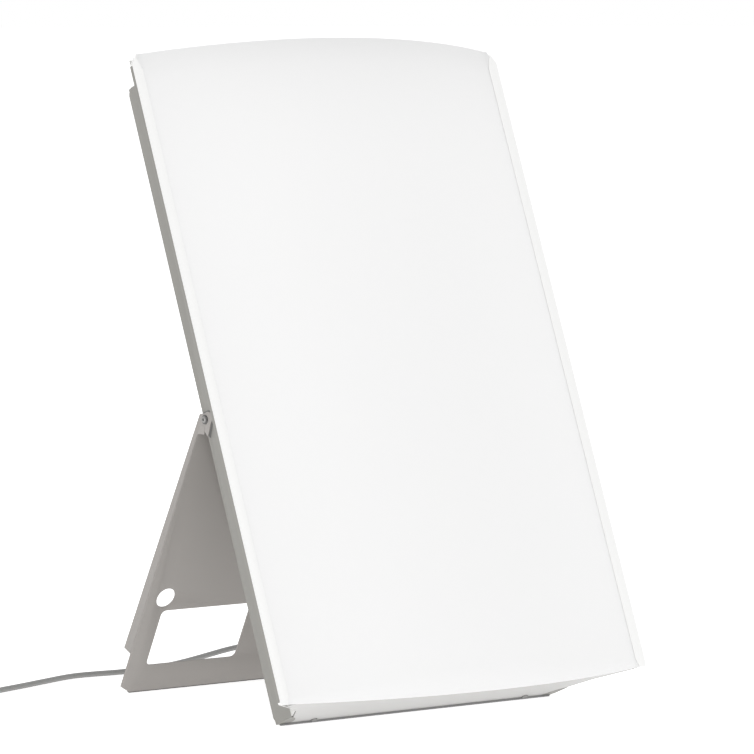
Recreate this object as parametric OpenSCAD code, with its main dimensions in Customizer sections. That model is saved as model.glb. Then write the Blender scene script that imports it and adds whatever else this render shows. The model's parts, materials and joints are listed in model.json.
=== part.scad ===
// Light therapy lamp: a tall leaning panel with a bowed opal diffuser, carried by a
// folded sheet-metal back tray and a rear leg that swings out on two side screws.
// Millimetres. +X to the right, +Y to the rear, +Z up. Origin on the floor, at the
// centre of the footprint. Panel pieces are drawn upright and then leaned back:
// x across, y to the rear of the tray's back face, z up the panel from the
// diffuser's lower edge.

/* [Panel] */
// Height of the bowed diffuser
panel_h = 600; // [560:1:640]
// Width over the two edge rails
panel_w = 415; // [400:1:430]
// Depth from the tray's back face to the front of the edge rails
housing_d = 80.5; // [76:0.5:90]
// Rise of the diffuser's bow above the rails
bow_rise = 37; // [20:1:50]
// Thickness of the diffuser sheet
diffuser_t = 2; // [1.5:0.1:2.4]
// Backward lean of the panel
lean = 22.5; // [18:0.5:26]

/* [Tray] */
// Width of the back tray
tray_w = 315; // [300:1:330]
// Depth of the tray's side walls
tray_d = 26; // [25:0.5:30]
// Distance from the diffuser's lower edge up to the tray
tray_gap_low = 6.5; // [4:0.5:10]
// Distance from the tray's top down from the diffuser's upper edge
tray_gap_top = 2; // [1:0.5:6]
// Thickness of the steel sheet of tray and leg
sheet_t = 1.2; // [1:0.1:1.5]
// Width of the flanges folded inward along the tray's walls and ends
tray_flange = 12; // [10:0.5:14]
// Width of the tabs folded in at the tray's corners
tab_w = 14; // [10:0.5:16]
// Size of the cut corners on the tray's walls
wall_cut = 5; // [3:0.5:7]

/* [Reflector and rails] */
// Thickness of the white reflector sheet
reflector_t = 0.8; // [0.6:0.1:1]
// Height of the first fold of the reflector's wings above the tray walls
wing_step = 24; // [20:1:28]
// Outward run of the first fold of the wings
wing_out = 13; // [10:1:18]
// Width of the edge rails seen from the front
rail_w = 10.5; // [9:0.5:12]
// Wall of the edge rails
rail_t = 0.7; // [0.6:0.1:0.9]
// Thickness of the end plates
end_t = 1; // [0.8:0.1:1.2]
// Width across the corners of a perforation
perf_size = 5; // [3:0.5:6]
// Distance between perforations across the end plates
perf_pitch_x = 12; // [10:0.5:16]
// Distance between rows of perforations
perf_pitch_y = 9; // [8:0.5:12]

/* [Leg] */
// Splay of the leg from the upright
splay = 25.5; // [22:0.5:28]
// Height of the leg's pivot above the diffuser's lower edge
pivot_v = 285.5; // [270:0.5:300]
// Distance of the pivot in front of the tray's back face
pivot_in = 4; // [3.5:0.1:6]
// Play between the folded leg and the tray's back face
fold_gap = 0.4; // [0.3:0.1:1]
// Depth of the flanges at their lower end
leg_flange = 11.8; // [10:0.1:14]
// Depth of the flanges beside the pivot
leg_flange_top = 4.9; // [4:0.1:9]
// Distance from the pivot to the lower end of the flanges
leg_flange_end = 248; // [235:1:252]
// Radius of the ears round the pivot
ear_r = 5.6; // [5:0.1:7]
// Forward reach of the ears past the pivot circle
ear_reach = 4.5; // [3:0.5:6]
// Run of the ears' web down the tray's wall below the pivot
ear_web = 15.5; // [12:0.5:18]
// Size of the cut corners at the leg's foot
foot_cut_x = 11; // [6:1:14]
// Width of a grip opening in the leg
grip_w = 100; // [90:1:110]
// Height of a grip opening in the leg
grip_h = 58; // [50:1:60]
// Corner radius of the grip openings
grip_r = 5; // [3:0.5:8]
// Distance from the leg's side to a grip opening
grip_side = 21; // [18:0.5:26]
// Distance from the pivot down to the grip openings
grip_top = 203.5; // [201:0.5:210]
// Radius of the round holes for hanging
hang_r = 9.7; // [7:0.1:10]
// Distance from the leg's side to the centre of a round hole
hang_side = 20.5; // [18:0.5:26]
// Distance from the pivot down to the round holes
hang_drop = 189.6; // [185:0.1:192]

/* [Pivot screws] */
// Radius of the pivot screw's shank
pivot_r = 2; // [1.6:0.1:2.4]
// Radius of the pivot screw's head
pivot_head_r = 4.2; // [3.8:0.1:5]
// Height of the pivot screw's head
pivot_head_h = 2.2; // [1.8:0.1:3]
// Thickness of the washer between ear and tray
washer_t = 0.6; // [0.5:0.1:1]
// Radial clearance of the leg's bores on the screws
pivot_play = 0.06; // [0.02:0.01:0.1]
// Side clearance between ear, washer and screw head
side_play = 0.05; // [0.02:0.01:0.1]

/* [Feet] */
// Thickness of the rubber strips under tray and leg
foot_t = 1.6; // [1.2:0.1:3]
// Width of the rubber strips
foot_w = 4; // [3:0.5:6]
// Depth worn flat on the strips' lowest corners
foot_flat = 0.7; // [0.5:0.1:0.9]

/* [Lamps] */
// Distance of each lamp from the middle of the panel
lamp_x = 75; // [65:1:85]
// Height of the lamps' axes above the reflector
lamp_rise = 25; // [22:0.5:27]
// Radius of the lamps' glass tubes
glass_r = 8.7; // [8:0.1:9]
// Distance between the two glass tubes of a lamp
glass_pitch = 21; // [19:0.5:22]
// Length of a lamp from its base to its far end
lamp_len = 535; // [480:1:536]
// Wall of the glass tubes
glass_t = 1; // [0.8:0.1:1.2]
// Length of the plastic lamp base
base_len = 23; // [20:1:28]
// Depth of a lamp holder along the panel
holder_len = 28; // [24:1:30]

/* [Electrics] */
// Length of the ballast
ballast_len = 360; // [300:5:400]
// Width of the ballast
ballast_w = 30; // [28:1:40]
// Height of the ballast
ballast_h = 21; // [18:0.5:21]
// Height of switch and cord exit above the diffuser's lower edge
service_v = 334; // [325:1:360]
// Distance of the cord exit from the middle
gland_x = 100; // [90:1:110]
// Distance of the switch from the middle
switch_x = 48; // [40:1:60]
// Width of the switch rocker
rocker_w = 10; // [9:0.5:11]
// Length of the switch rocker
rocker_l = 16; // [14:0.5:17]
// Tilt of the rocker to each side
rocker_tilt = 8; // [5:1:8]

/* [Mains cord] */
// Diameter of the cord
cord_d = 5.2; // [4.8:0.1:5.6]
// Length of the tapered sleeve at the cord exit
boot_len = 34; // [28:1:40]
// Loops in each layer of the coil
coil_loops = 2.5; // [1.5:1:3.5]
// Gap between neighbouring loops
coil_gap = 0.6; // [0.5:0.1:1]
// Radius of the innermost loop at the cord's middle
coil_r = 22; // [21:0.5:26]

/* [Hidden] */
$fn = 64;

eps = 0.01;
cut = 1;

// Panel, measured up from the diffuser's lower edge
tray_v0 = tray_gap_low;
tray_v1 = panel_h - tray_gap_top;
wall_in = tray_w / 2 - sheet_t;
rail_depth = diffuser_t + 0.4 + 2 * rail_t;
rail_back = housing_d - rail_depth;
rail_x0 = panel_w / 2 - rail_w;
reflector_base = tray_d;
end_play = 0.2;
reflector_v0 = tray_v0 + end_t + end_play;
reflector_v1 = tray_v1 - end_t - end_play;

// Bow of the diffuser: an arc through both rails and the crown
bow_half = rail_x0 - 0.6;
bow_foot = housing_d - rail_t - 0.2;
bow_sag = housing_d + bow_rise - bow_foot;
bow_r = (bow_half * bow_half + bow_sag * bow_sag) / (2 * bow_sag);
bow_centre = bow_foot + bow_sag - bow_r;
lip_t0 = rail_back + rail_t + 0.2;
end_bow_r = bow_r - diffuser_t - 0.4;

// Lamps
lamp_w = reflector_base + reflector_t + lamp_rise;
holder_v0 = reflector_v0 + 6;
base_v0 = holder_v0 + holder_len;
glass_v0 = base_v0 + base_len;
glass_v1 = base_v0 + lamp_len;
clip_v = glass_v1 - 40;
holder_w = 46;
base_w = 43;
base_d = 23;
pin_pitch = 8;
pin_r = 1.2;
pin_len = 6.4;

// Electrics in the tray
ballast_x = -25;
ballast_v0 = 130;
terminal_x = 60;
terminal_v = 262;
terminal_in = 6;
ballast_plug_w = sheet_t + ballast_h - 6;
gland_r = 8;
switch_cut_w = 13.2;
switch_cut_l = 19.2;
switch_rim = 1.4;
switch_depth = 17;
rocker_pin_in = 1.2;
rocker_pin_r = 1;
rocker_pin_end = 1.2;
screw_r = 1.5;
screw_hole_r = 1.7;
screw_head_r = 2.8;
screw_head_h = 1.6;
screw_socket_r = 1.2;
screw_len = 3;
end_screw_x = 120;
end_screw_w = 8;
reflector_screw_end = 60;
foot_lap = 16;
way_pitch = 6;
way_r = 1.4;
way_depth = 6;
lead_r = 1;
lead_floor = 5;
lead_mid = 12;
grommet_v = reflector_v0 + holder_len + 50;
grommet_r = 5;

// Leg and pivot
leg_set = pivot_in + fold_gap;
open_angle = lean + splay;
leg_stop_gap = 0.3;
washer_rim = 1.3;
web_in = 2;
leg_top = (pivot_in + leg_stop_gap - leg_set * cos(open_angle)) / sin(open_angle);
ear_in = tray_w / 2 + washer_t + 2 * side_play;
leg_half = ear_in + sheet_t;

// Placing of the whole object: floor at z = 0, footprint centred
floor_v = (tray_v0 - foot_t) * cos(lean) + foot_flat;
pivot_y0 = pivot_v * sin(lean) - pivot_in * cos(lean);
pivot_z = pivot_v * cos(lean) + pivot_in * sin(lean) - floor_v;
leg_len = (pivot_z + leg_set * sin(splay) + foot_flat) / cos(splay);
front_y = -(housing_d + bow_rise) * cos(lean);
rear_y = pivot_y0 + leg_len * sin(splay) + (leg_set + foot_w) * cos(splay);
shift_y = -(front_y + rear_y) / 2;
pivot_y = pivot_y0 + shift_y;

// Plug: thickness, width, length of the body, neck and pins
plug_w = 13.7;
plug_l = 35;
plug_h = 22;
plug_neck = 14;
plug_pin_r = 2;
plug_pin_len = 19;
plug_pin_gap = 18.6;

// Cord exit and route; the route's middle points are free choices on the floor
cord_r = cord_d / 2;
gland_flange = 2.5;
exit_out = gland_flange + boot_len;
exit_y = service_v * sin(lean) + exit_out * cos(lean) + shift_y;
exit_z = service_v * cos(lean) - exit_out * sin(lean) - floor_v;
exit_dir = [0, cos(lean), -sin(lean)];
exit_point = [gland_x, exit_y, exit_z];
lay_z = cord_r;
coil_pitch = cord_d + coil_gap;
tie_t = 0.8;
tie_play = 0.15;
coil_z0 = cord_r + tie_t + tie_play;
coil_z1 = coil_z0 + coil_pitch;
coil_outer = coil_r + coil_loops * coil_pitch;
coil_centre = [-318, 240];
coil_start = 292;
tie_angle = 190;
coil_in_dir = [sin(coil_start), -cos(coil_start), 0];
coil_in = [coil_centre[0] + coil_outer * cos(coil_start),
    coil_centre[1] + coil_outer * sin(coil_start), coil_z0] - cord_d * coil_in_dir;
run_points = concat(
    [exit_point, exit_point + cord_d * exit_dir, exit_point + 2 * cord_d * exit_dir],
    [[100, 128, 270], [101, 144, 250], [103, 155, 226], [106, 164, 198],
     [109, 173, 168], [112, 184, 137], [114, 199, 105], [115, 219, 75],
     [113, 243, 49], [107, 267, 29], [96, 286, 17], [79, 298, 11],
     [58, 302, 7.4], [34, 298, 4.9], [4, 288, 3.3], [-28, 277, lay_z],
     [-58, 271, lay_z], [-88, 267, lay_z], [-115, 270, lay_z], [-142, 270, lay_z],
     [-179, 258, lay_z], [-212, 246, lay_z], [-245, 235, lay_z], [-275, 221, 3.2]],
    [coil_in - 16 * coil_in_dir, coil_in - cord_d * coil_in_dir, coil_in]);

// Coil: spirals in on the lower layer, climbs, and spirals out on the upper one
loop_rings = 24;
coil_steps = loop_rings * coil_loops;
climb_steps = loop_rings / 2;
climb_dip = 1;
coil_turn_end = coil_start - 360 * (2 * coil_loops + 0.5);
function ease(t) = t * t * (3 - 2 * t);
function coil_spot(k) =
    let (a = coil_start - 360 * k / loop_rings,
        r = k <= coil_steps ? coil_outer - coil_pitch * k / loop_rings
            : k <= coil_steps + climb_steps
                ? coil_r - climb_dip * sin(180 * (k - coil_steps) / climb_steps)
            : coil_r + coil_pitch * (k - coil_steps - climb_steps) / loop_rings,
        z = k <= coil_steps ? coil_z0
            : k <= coil_steps + climb_steps
                ? coil_z0 + coil_pitch * ease((k - coil_steps) / climb_steps)
            : coil_z1)
    [coil_centre[0] + r * cos(a), coil_centre[1] + r * sin(a), z];
coil_count = 2 * coil_steps + climb_steps;
coil_spots = [for (k = [0 : coil_count]) coil_spot(k)];
coil_out_dir = [sin(coil_turn_end), -cos(coil_turn_end), 0];
coil_out = coil_spots[coil_count] + cord_d * coil_out_dir;
coil_points = concat([coil_in], coil_spots, [coil_out]);
tail_drop = coil_z1 - plug_w / 2;
tail_points = [for (s = [[0, 0], [6, 0], [13, 0.1], [20, 0.5], [27, 1], [34, 1.2], [41, 1.15], [48, 1], [54, 1]])
    coil_out + s[0] * coil_out_dir - [0, 0, tail_drop * s[1]]];

// Least gap of the coil to itself, measured on its points and printed
coil_near = min([for (i = [0 : coil_count])
    for (j = [i + loop_rings / 2 : 1 : coil_count])
        norm(coil_spots[i] - coil_spots[j])]) - cord_d;
echo("least gap of the coil to itself", coil_near);

paint = [0.56, 0.55, 0.53];
leg_paint = [0.53, 0.52, 0.5];
white = [0.95, 0.95, 0.95];
opal = [0.98, 0.98, 0.98];
steel = [0.7, 0.7, 0.72];
dark = [0.25, 0.25, 0.26];
pale_cord = [0.62, 0.62, 0.62];
amber = [0.85, 0.65, 0.3];

// ---- shared shapes ----

// Leans what is drawn upright back to its place on the floor
module lean_back() {
    translate([0, shift_y, -floor_v]) rotate([-lean, 0, 0]) children();
}

// Places what is drawn round the leg's pivot, z up the leg and y to its rear
module on_leg() {
    translate([0, pivot_y, pivot_z]) rotate([splay, 0, 0]) children();
}

// Mirrors to the side named: 1 right, -1 left
module side(s) {
    mirror([s < 0 ? 1 : 0, 0, 0]) children();
}

// Extrudes a profile drawn in x and depth-from-the-back up the panel
module up_panel(v0, v1) {
    translate([0, 0, v0]) linear_extrude(v1 - v0) mirror([0, 1]) children();
}

// Bar with round ends from the origin along the first axis
module slot_2d(length, r) {
    circle(r);
    translate([0, -r]) square([length, 2 * r]);
    translate([length, 0]) circle(r);
}

// Rectangle with exact round corners, lower left corner at the origin
module round_rect(w, h, r) {
    translate([r, 0]) square([w - 2 * r, h]);
    translate([0, r]) square([w, h - 2 * r]);
    for (x = [r, w - r], y = [r, h - r]) translate([x, y]) circle(r);
}

// Pan-head screw, head above z = 0 and shank below
module pan_screw(r, length, head_r, head_h, socket_r) {
    difference() {
        union() {
            cylinder(r = head_r, h = head_h * 0.6);
            translate([0, 0, head_h * 0.6]) cylinder(r1 = head_r, r2 = head_r * 0.72, h = head_h * 0.4);
        }
        translate([0, 0, head_h * 0.45]) cylinder(r = socket_r, h = head_h, $fn = 6);
    }
    translate([0, 0, -length]) cylinder(r = r, h = length + eps);
}

module small_screw(length) {
    pan_screw(screw_r, length, screw_head_r, screw_head_h, screw_socket_r);
}

// Smooth curve through given points, with the given number of steps per span
function curve_at(p, i, t) =
    let (a = p[max(i - 1, 0)], b = p[i], c = p[min(i + 1, len(p) - 1)],
        d = p[min(i + 2, len(p) - 1)])
    0.5 * (2 * b + (c - a) * t + (2 * a - 5 * b + 4 * c - d) * t * t
        + (3 * b - a - 3 * c + d) * t * t * t);
function curve_through(p, steps) = concat(
    [for (i = [0 : len(p) - 2]) for (k = [0 : steps - 1]) curve_at(p, i, k / steps)],
    [p[len(p) - 1]]);

function unit(v) = v / norm(v);
function heading(p, i) = unit(p[min(i + 1, len(p) - 1)] - p[max(i - 1, 0)]);
function across(t) = abs(t[2]) > 0.9 ? unit(cross(t, [1, 0, 0])) : unit(cross([0, 0, 1], t));
// Side vectors carried along the path, so that the tube never twists
function frames(p, i = 0, last = undef) =
    i >= len(p) ? []
    : let (t = heading(p, i),
        s = is_undef(last) ? across(t) : unit(last - (last * t) * t))
        concat([[t, s]], frames(p, i + 1, s));

// Tube of a given radius along a path, as one closed solid
module sweep_tube(p, r, sides) {
    f = frames(p);
    n = len(p);
    points = [for (i = [0 : n - 1]) let (t = f[i][0], s = f[i][1], u = cross(t, s))
        for (k = [0 : sides - 1]) p[i] + r * (cos(360 * k / sides) * s + sin(360 * k / sides) * u)];
    walls = [for (i = [0 : n - 2]) for (k = [0 : sides - 1])
        let (a = i * sides + k, b = i * sides + (k + 1) % sides)
            each [[a, a + sides, b], [b, a + sides, b + sides]]];
    ends = [for (k = [1 : sides - 2]) each [[0, k, k + 1],
        [(n - 1) * sides, (n - 1) * sides + k + 1, (n - 1) * sides + k]]];
    polyhedron(points, concat(walls, ends), convexity = 6);
}

// ---- tray and housing ----

module tray_profile(flange) {
    difference() {
        translate([-tray_w / 2, 0]) square([tray_w, tray_d]);
        translate([-wall_in, sheet_t]) square([2 * wall_in, tray_d - 2 * sheet_t]);
        translate([-wall_in + flange, sheet_t]) square([2 * (wall_in - flange), tray_d]);
    }
}

// Cut corner of a tray wall, at the given height and turned up or down
module wall_corner(v, up) {
    side_cut = sheet_t + 1;
    for (s = [-1, 1]) side(s)
        translate([tray_w / 2 - sheet_t + eps, 0, v]) mirror([0, 0, up ? 1 : 0])
            rotate([90, 0, 90]) linear_extrude(side_cut)
                polygon([[cut, -cut], [cut, wall_cut], [0, wall_cut], [-wall_cut, 0],
                    [-wall_cut, -cut]]);
}

// Tab folded in at a corner of the tray, beside the end plate
module corner_tab(gap) {
    polygon([[wall_in + cut, 0], [wall_in - tab_w - gap, 0], [wall_in - tab_w * 0.8 - gap, tray_d * 0.5],
        [wall_in - tab_w * 0.4 - gap, tray_d * 0.85], [wall_in - gap, tray_d], [wall_in + cut, tray_d]]);
}

// Flange folded in at one end of the tray, behind its end plate
module end_flange(v) {
    translate([-wall_in + 0.3, -sheet_t - tray_flange, v])
        cube([2 * wall_in - 0.6, tray_flange + sheet_t, sheet_t]);
}

module end_screw_spots() {
    for (s = [-1, 1]) translate([s * end_screw_x, -end_screw_w, 0]) children();
}

module ballast_screw_spots() {
    for (v = [ballast_v0 - foot_lap / 2, ballast_v0 + ballast_len + foot_lap / 2]) translate([ballast_x, 0, v])
        rotate([-90, 0, 0]) children();
}

module reflector_screw_spots() {
    for (s = [-1, 1], v = [reflector_screw_end, panel_h / 2, panel_h - reflector_screw_end])
        translate([s * (wall_in - tray_flange / 2), -reflector_base, v]) rotate([90, 0, 0]) children();
}

module tray() {
    color(paint) lean_back() difference() {
        union() {
            up_panel(tray_v0, tray_v1) tray_profile(0);
            up_panel(tray_v0 + end_t + end_play, tray_v1 - end_t - end_play) tray_profile(tray_flange);
            end_flange(tray_v0 + end_t);
            end_flange(tray_v1 - end_t - sheet_t);
            for (v = [tray_v0, tray_v1 - end_t - eps]) up_panel(v, v + end_t + eps)
                for (s = [0, 1]) mirror([s, 0]) intersection() {
                    corner_tab(0);
                    square([tray_w / 2, tray_d]);
                }
        }
        wall_corner(tray_v0, false);
        wall_corner(tray_v1, true);
        for (s = [-1, 1]) side(s) translate([wall_in - cut, -pivot_in, pivot_v])
            rotate([0, 90, 0]) cylinder(r = pivot_r + 0.1, h = sheet_t + 2 * cut);
        translate([gland_x, -sheet_t - cut, service_v]) rotate([-90, 0, 0])
            cylinder(r = gland_r + 0.1, h = sheet_t + 2 * cut);
        translate([switch_x - switch_cut_w / 2, -sheet_t - cut, service_v - switch_cut_l / 2])
            cube([switch_cut_w, sheet_t + 2 * cut, switch_cut_l]);
        for (v = [tray_v0, tray_v1]) translate([0, 0, v - 5]) end_screw_spots()
            cylinder(r = screw_r + 0.05, h = 10);
        ballast_screw_spots() translate([0, 0, -sheet_t - cut])
            cylinder(r = screw_r + 0.05, h = sheet_t + 2 * cut);
        reflector_screw_spots() translate([0, 0, -sheet_t - cut])
            cylinder(r = screw_r + 0.05, h = sheet_t + 2 * cut);
    }
}

// Outer face of a reflector wing, as distance from the middle and depth
wing_face = [[tray_w / 2, reflector_base], [tray_w / 2 + wing_out, reflector_base + wing_step],
    [panel_w / 2 - rail_t, rail_back]];
// Distance from the wings' outer face in to the end plates
end_inset = reflector_t + 0.6;

module reflector_profile() {
    fold = 1.4 * reflector_t;
    translate([-tray_w / 2 + fold, reflector_base]) square([tray_w - 2 * fold, reflector_t]);
    for (s = [0, 1]) mirror([s, 0]) {
        polygon([wing_face[0], wing_face[1], wing_face[2], wing_face[2] - [fold + 0.4, 0],
            wing_face[1] - [fold, -0.3 * reflector_t],
            wing_face[0] + [-fold, reflector_t], wing_face[0] - [fold, 0]]);
        translate([rail_x0 + 0.4, rail_back - reflector_t])
            square([panel_w / 2 - rail_t - rail_x0 - 2, reflector_t]);
    }
}

module reflector() {
    color(white) lean_back() difference() {
        up_panel(reflector_v0, reflector_v1) reflector_profile();
        reflector_screw_spots() translate([0, 0, -cut]) cylinder(r = screw_hole_r, h = 4);
        for (s = [-1, 1]) translate([s * lamp_x, -reflector_base + cut, grommet_v])
            rotate([90, 0, 0]) cylinder(r = grommet_r, h = 4);
    }
}

// Channel that holds the diffuser's edge, with its front strip cut to a point at the ends
module edge_rail(s) {
    tip = 6;
    inner_run = 15;
    outer_run = 9;
    inner_cut = 5;
    color(white) lean_back() side(s) difference() {
        up_panel(0.5, panel_h - 0.5) difference() {
            translate([rail_x0, rail_back]) square([rail_w, rail_depth]);
            translate([rail_x0 - cut, rail_back + rail_t])
                square([rail_w + cut - rail_t, rail_depth - 2 * rail_t]);
        }
        for (end = [0, 1]) translate([0, 0, end * panel_h]) mirror([0, 0, end])
            translate([0, cut - rail_back, 0]) rotate([90, 0, 0]) linear_extrude(rail_depth + 2 * cut) {
                polygon([[panel_w / 2 + cut, -cut], [panel_w / 2 + cut, outer_run + 2],
                    [panel_w / 2 - tip, 0], [panel_w / 2 - tip, -cut]]);
                polygon([[rail_x0 - cut, -cut], [rail_x0 - cut, inner_run + 2],
                    [rail_x0 + inner_cut, 0], [rail_x0 + inner_cut, -cut]]);
            }
    }
}

// Lens-shaped area under an arc of the bow, above the rails' level
module bow_area(r, foot) {
    intersection() {
        translate([0, bow_centre]) circle(r, $fn = 180);
        translate([-panel_w / 2, foot]) square([panel_w, housing_d]);
    }
}

module diffuser() {
    lip_x = panel_w / 2 - rail_t - 0.3;
    corner_x = 7;
    corner_v = 10;
    color(opal) lean_back() difference() {
        up_panel(0, panel_h) difference() {
            union() {
                bow_area(bow_r, lip_t0 + diffuser_t / 2);
                translate([-lip_x, lip_t0]) square([2 * lip_x, diffuser_t]);
            }
            translate([0, bow_centre]) circle(bow_r - diffuser_t, $fn = 180);
        }
        for (s = [-1, 1], end = [0, 1]) side(s) translate([0, 0, end * panel_h])
            mirror([0, 0, end]) translate([0, cut - rail_back, 0]) rotate([90, 0, 0])
                linear_extrude(rail_depth + 2 * cut)
                    polygon([[panel_w / 2 + cut, -cut], [panel_w / 2 + cut, corner_v + 2],
                        [panel_w / 2 - corner_x, 0], [panel_w / 2 - corner_x, -cut]]);
    }
}

// Half width of the end plates at a given depth
function end_half(w) =
    w < reflector_base ? wall_in - tab_w
    : w < wing_face[1][1] ? wing_face[0][0] - end_inset + wing_out * (w - reflector_base) / wing_step
    : w < rail_back - 2 ? wing_face[1][0] - end_inset + (rail_x0 - wing_face[1][0])
        * (w - wing_face[1][1]) / (rail_back - wing_face[1][1])
    : sqrt(max(0, end_bow_r * end_bow_r - pow(w - bow_centre, 2)));

module end_profile() {
    back = sheet_t + 0.2;
    for (s = [0, 1]) mirror([s, 0]) difference() {
        polygon([[0, back], [wall_in - 0.3, back], [wall_in - 0.3, reflector_base - 0.2],
            wing_face[0] - [end_inset + 1, 0.2], wing_face[1] - [end_inset, 0],
            [rail_x0, rail_back - reflector_t - 0.4], [rail_x0 - 4, lip_t0], [0, lip_t0]]);
        corner_tab(0.2);
    }
    bow_area(end_bow_r, lip_t0 - eps);
}

module end_plate(v) {
    first_row = 7;
    rows = floor((housing_d + bow_rise - 8 - first_row) / perf_pitch_y);
    color(white) lean_back() difference() {
        up_panel(v, v + end_t) difference() {
            end_profile();
            for (row = [0 : rows]) let (w = first_row + row * perf_pitch_y,
                    half = end_half(w) - 6, odd = row % 2 * perf_pitch_x / 2)
                for (x = [-floor(half / perf_pitch_x) * perf_pitch_x + odd : perf_pitch_x : half])
                    if (w > end_screw_w + 6 || abs(abs(x) - end_screw_x) > 7) translate([x, w]) circle(perf_size / 2, $fn = 4);
        }
        translate([0, 0, v - cut]) end_screw_spots()
            cylinder(r = screw_hole_r, h = end_t + 2 * cut);
    }
}

module end_plate_screws() {
    color(steel) lean_back() {
        translate([0, 0, tray_v0]) end_screw_spots() rotate([180, 0, 0])
            small_screw(end_t + sheet_t + screw_len);
        translate([0, 0, tray_v1]) end_screw_spots()
            small_screw(end_t + sheet_t + screw_len);
    }
}

module reflector_screws() {
    color(steel) lean_back() reflector_screw_spots() translate([0, 0, reflector_t])
        small_screw(reflector_t + sheet_t + screw_len);
}

// ---- lamps ----

module lamp_glass(s) {
    color(white) lean_back() translate([s * lamp_x, -lamp_w, 0]) {
        difference() {
            union() {
                for (x = [-1, 1]) translate([x * glass_pitch / 2, 0, glass_v0])
                    cylinder(r = glass_r, h = glass_v1 - glass_v0);
                translate([-glass_pitch / 2, 0, glass_v1 - 14]) rotate([0, 90, 0])
                    cylinder(r = 5, h = glass_pitch);
            }
            for (x = [-1, 1]) translate([x * glass_pitch / 2, 0, glass_v0 + glass_t])
                cylinder(r = glass_r - glass_t, h = glass_v1 - glass_v0 - 2 * glass_t);
            translate([-glass_pitch / 2, 0, glass_v1 - 14]) rotate([0, 90, 0])
                cylinder(r = 5 - glass_t, h = glass_pitch);
        }
    }
}

module lamp_base(s) {
    color(white) lean_back() translate([s * lamp_x, -lamp_w, base_v0]) {
        translate([-base_w / 2, -base_d / 2, 0]) linear_extrude(base_len) round_rect(base_w, base_d, 4);
    }
}

module pin_spots() {
    for (i = [-1.5 : 1 : 1.5]) translate([i * pin_pitch, 0, 0]) children();
}

module lamp_pins() {
    color(amber) lean_back() for (s = [-1, 1]) translate([s * lamp_x, -lamp_w, base_v0 - pin_len])
        pin_spots() cylinder(r = pin_r, h = pin_len, $fn = 24);
}

module lamp_holder(s) {
    foot_l = 10;
    bed = reflector_base + reflector_t;
    color(white) lean_back() difference() {
        union() {
            translate([s * lamp_x - holder_w / 2, -lamp_w - base_d / 2, holder_v0])
                cube([holder_w, base_d / 2 + lamp_rise, holder_len]);
            translate([s * lamp_x - holder_w / 2 - foot_l, -bed - 3, holder_v0])
                cube([holder_w + 2 * foot_l, 3, holder_len]);
        }
        translate([s * lamp_x, -lamp_w, base_v0 - pin_len - 0.5]) pin_spots()
            cylinder(r = pin_r + 0.15, h = pin_len + 1, $fn = 24);
    }
}

// Spring clip: a strip bent to hold both glass tubes from the sides, on a post
module lamp_clip(s) {
    half = glass_pitch / 2 + glass_r + 0.1;
    strip = 0.6;
    post = 4;
    bed = reflector_base + reflector_t;
    top = lamp_w + 5;
    color(steel) lean_back() translate([s * lamp_x, 0, 0]) up_panel(clip_v, clip_v + 12) {
        outer = [[half + strip, bed], [half + strip, top], [half + strip + 3, top + 3]];
        inner = [[half + 3, top + 3], [half, top], [half, bed + strip]];
        polygon(concat(outer, inner, [for (p = [inner[2], inner[1], inner[0]]) [-p[0], p[1]]],
            [for (p = [outer[2], outer[1], outer[0]]) [-p[0], p[1]]]));
        translate([-post / 2, bed + strip / 2]) square([post, lamp_rise - glass_r - 0.1 - strip / 2]);
    }
}

// ---- electrics ----

module ballast() {
    color(steel) lean_back() difference() {
        union() {
            translate([ballast_x - ballast_w / 2, -sheet_t - ballast_h, ballast_v0])
                cube([ballast_w, ballast_h, ballast_len]);
            translate([ballast_x - ballast_w / 2, -sheet_t - 1, ballast_v0 - foot_lap])
                cube([ballast_w, 1, ballast_len + 2 * foot_lap]);
        }
        ballast_screw_spots() translate([0, 0, -sheet_t - 3]) cylinder(r = screw_hole_r, h = 4);
        translate([ballast_x - ballast_w / 2 - cut, -sheet_t - ballast_h - cut, ballast_v0 + ballast_len - 14])
            cube([ballast_w + 2 * cut, 12 + cut, 14 + cut]);
    }
}

module ballast_terminals() {
    color(white) lean_back() difference() {
        translate([ballast_x - ballast_w / 2 + 1, -sheet_t - ballast_h + 1, ballast_v0 + ballast_len - 13.9])
            cube([ballast_w - 2, 10.9, 13]);
        for (i = [0 : 3]) translate([ballast_way(i), -ballast_plug_w, ballast_top - way_depth])
            cylinder(r = way_r, h = way_depth + cut);
    }
}

module ballast_screws() {
    color(steel) lean_back() ballast_screw_spots() translate([0, 0, -sheet_t - 1]) rotate([180, 0, 0])
        small_screw(sheet_t + 1);
}

module terminal_block() {
    ways = 2;
    way_w = 8;
    block_l = 22;
    color(white) lean_back() difference() {
        translate([terminal_x - ways * way_w / 2, -sheet_t - 14, terminal_v])
            cube([ways * way_w, 14, block_l]);
        for (i = [0 : ways - 1])
            translate([terminal_x + (i - (ways - 1) / 2) * way_w, -sheet_t - terminal_in, terminal_v - cut])
                cylinder(r = way_r, h = block_l + 2 * cut);
    }
}

// Lead through given points of the tray: across, depth, up the panel. Its ends run straight.
module lead(points) {
    p = [for (q = points) [q[0], -q[1], q[2]]];
    last = len(p) - 1;
    sweep_tube(curve_through(concat([p[0], p[0] + 0.4 * (p[1] - p[0])],
        [for (i = [1 : last - 1]) p[i]],
        [p[last] + 0.4 * (p[last - 1] - p[last]), p[last]]), 3), lead_r, 8);
}

function ballast_way(i) = ballast_x + (i - 1.5) * way_pitch;
ballast_top = ballast_v0 + ballast_len;

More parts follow.
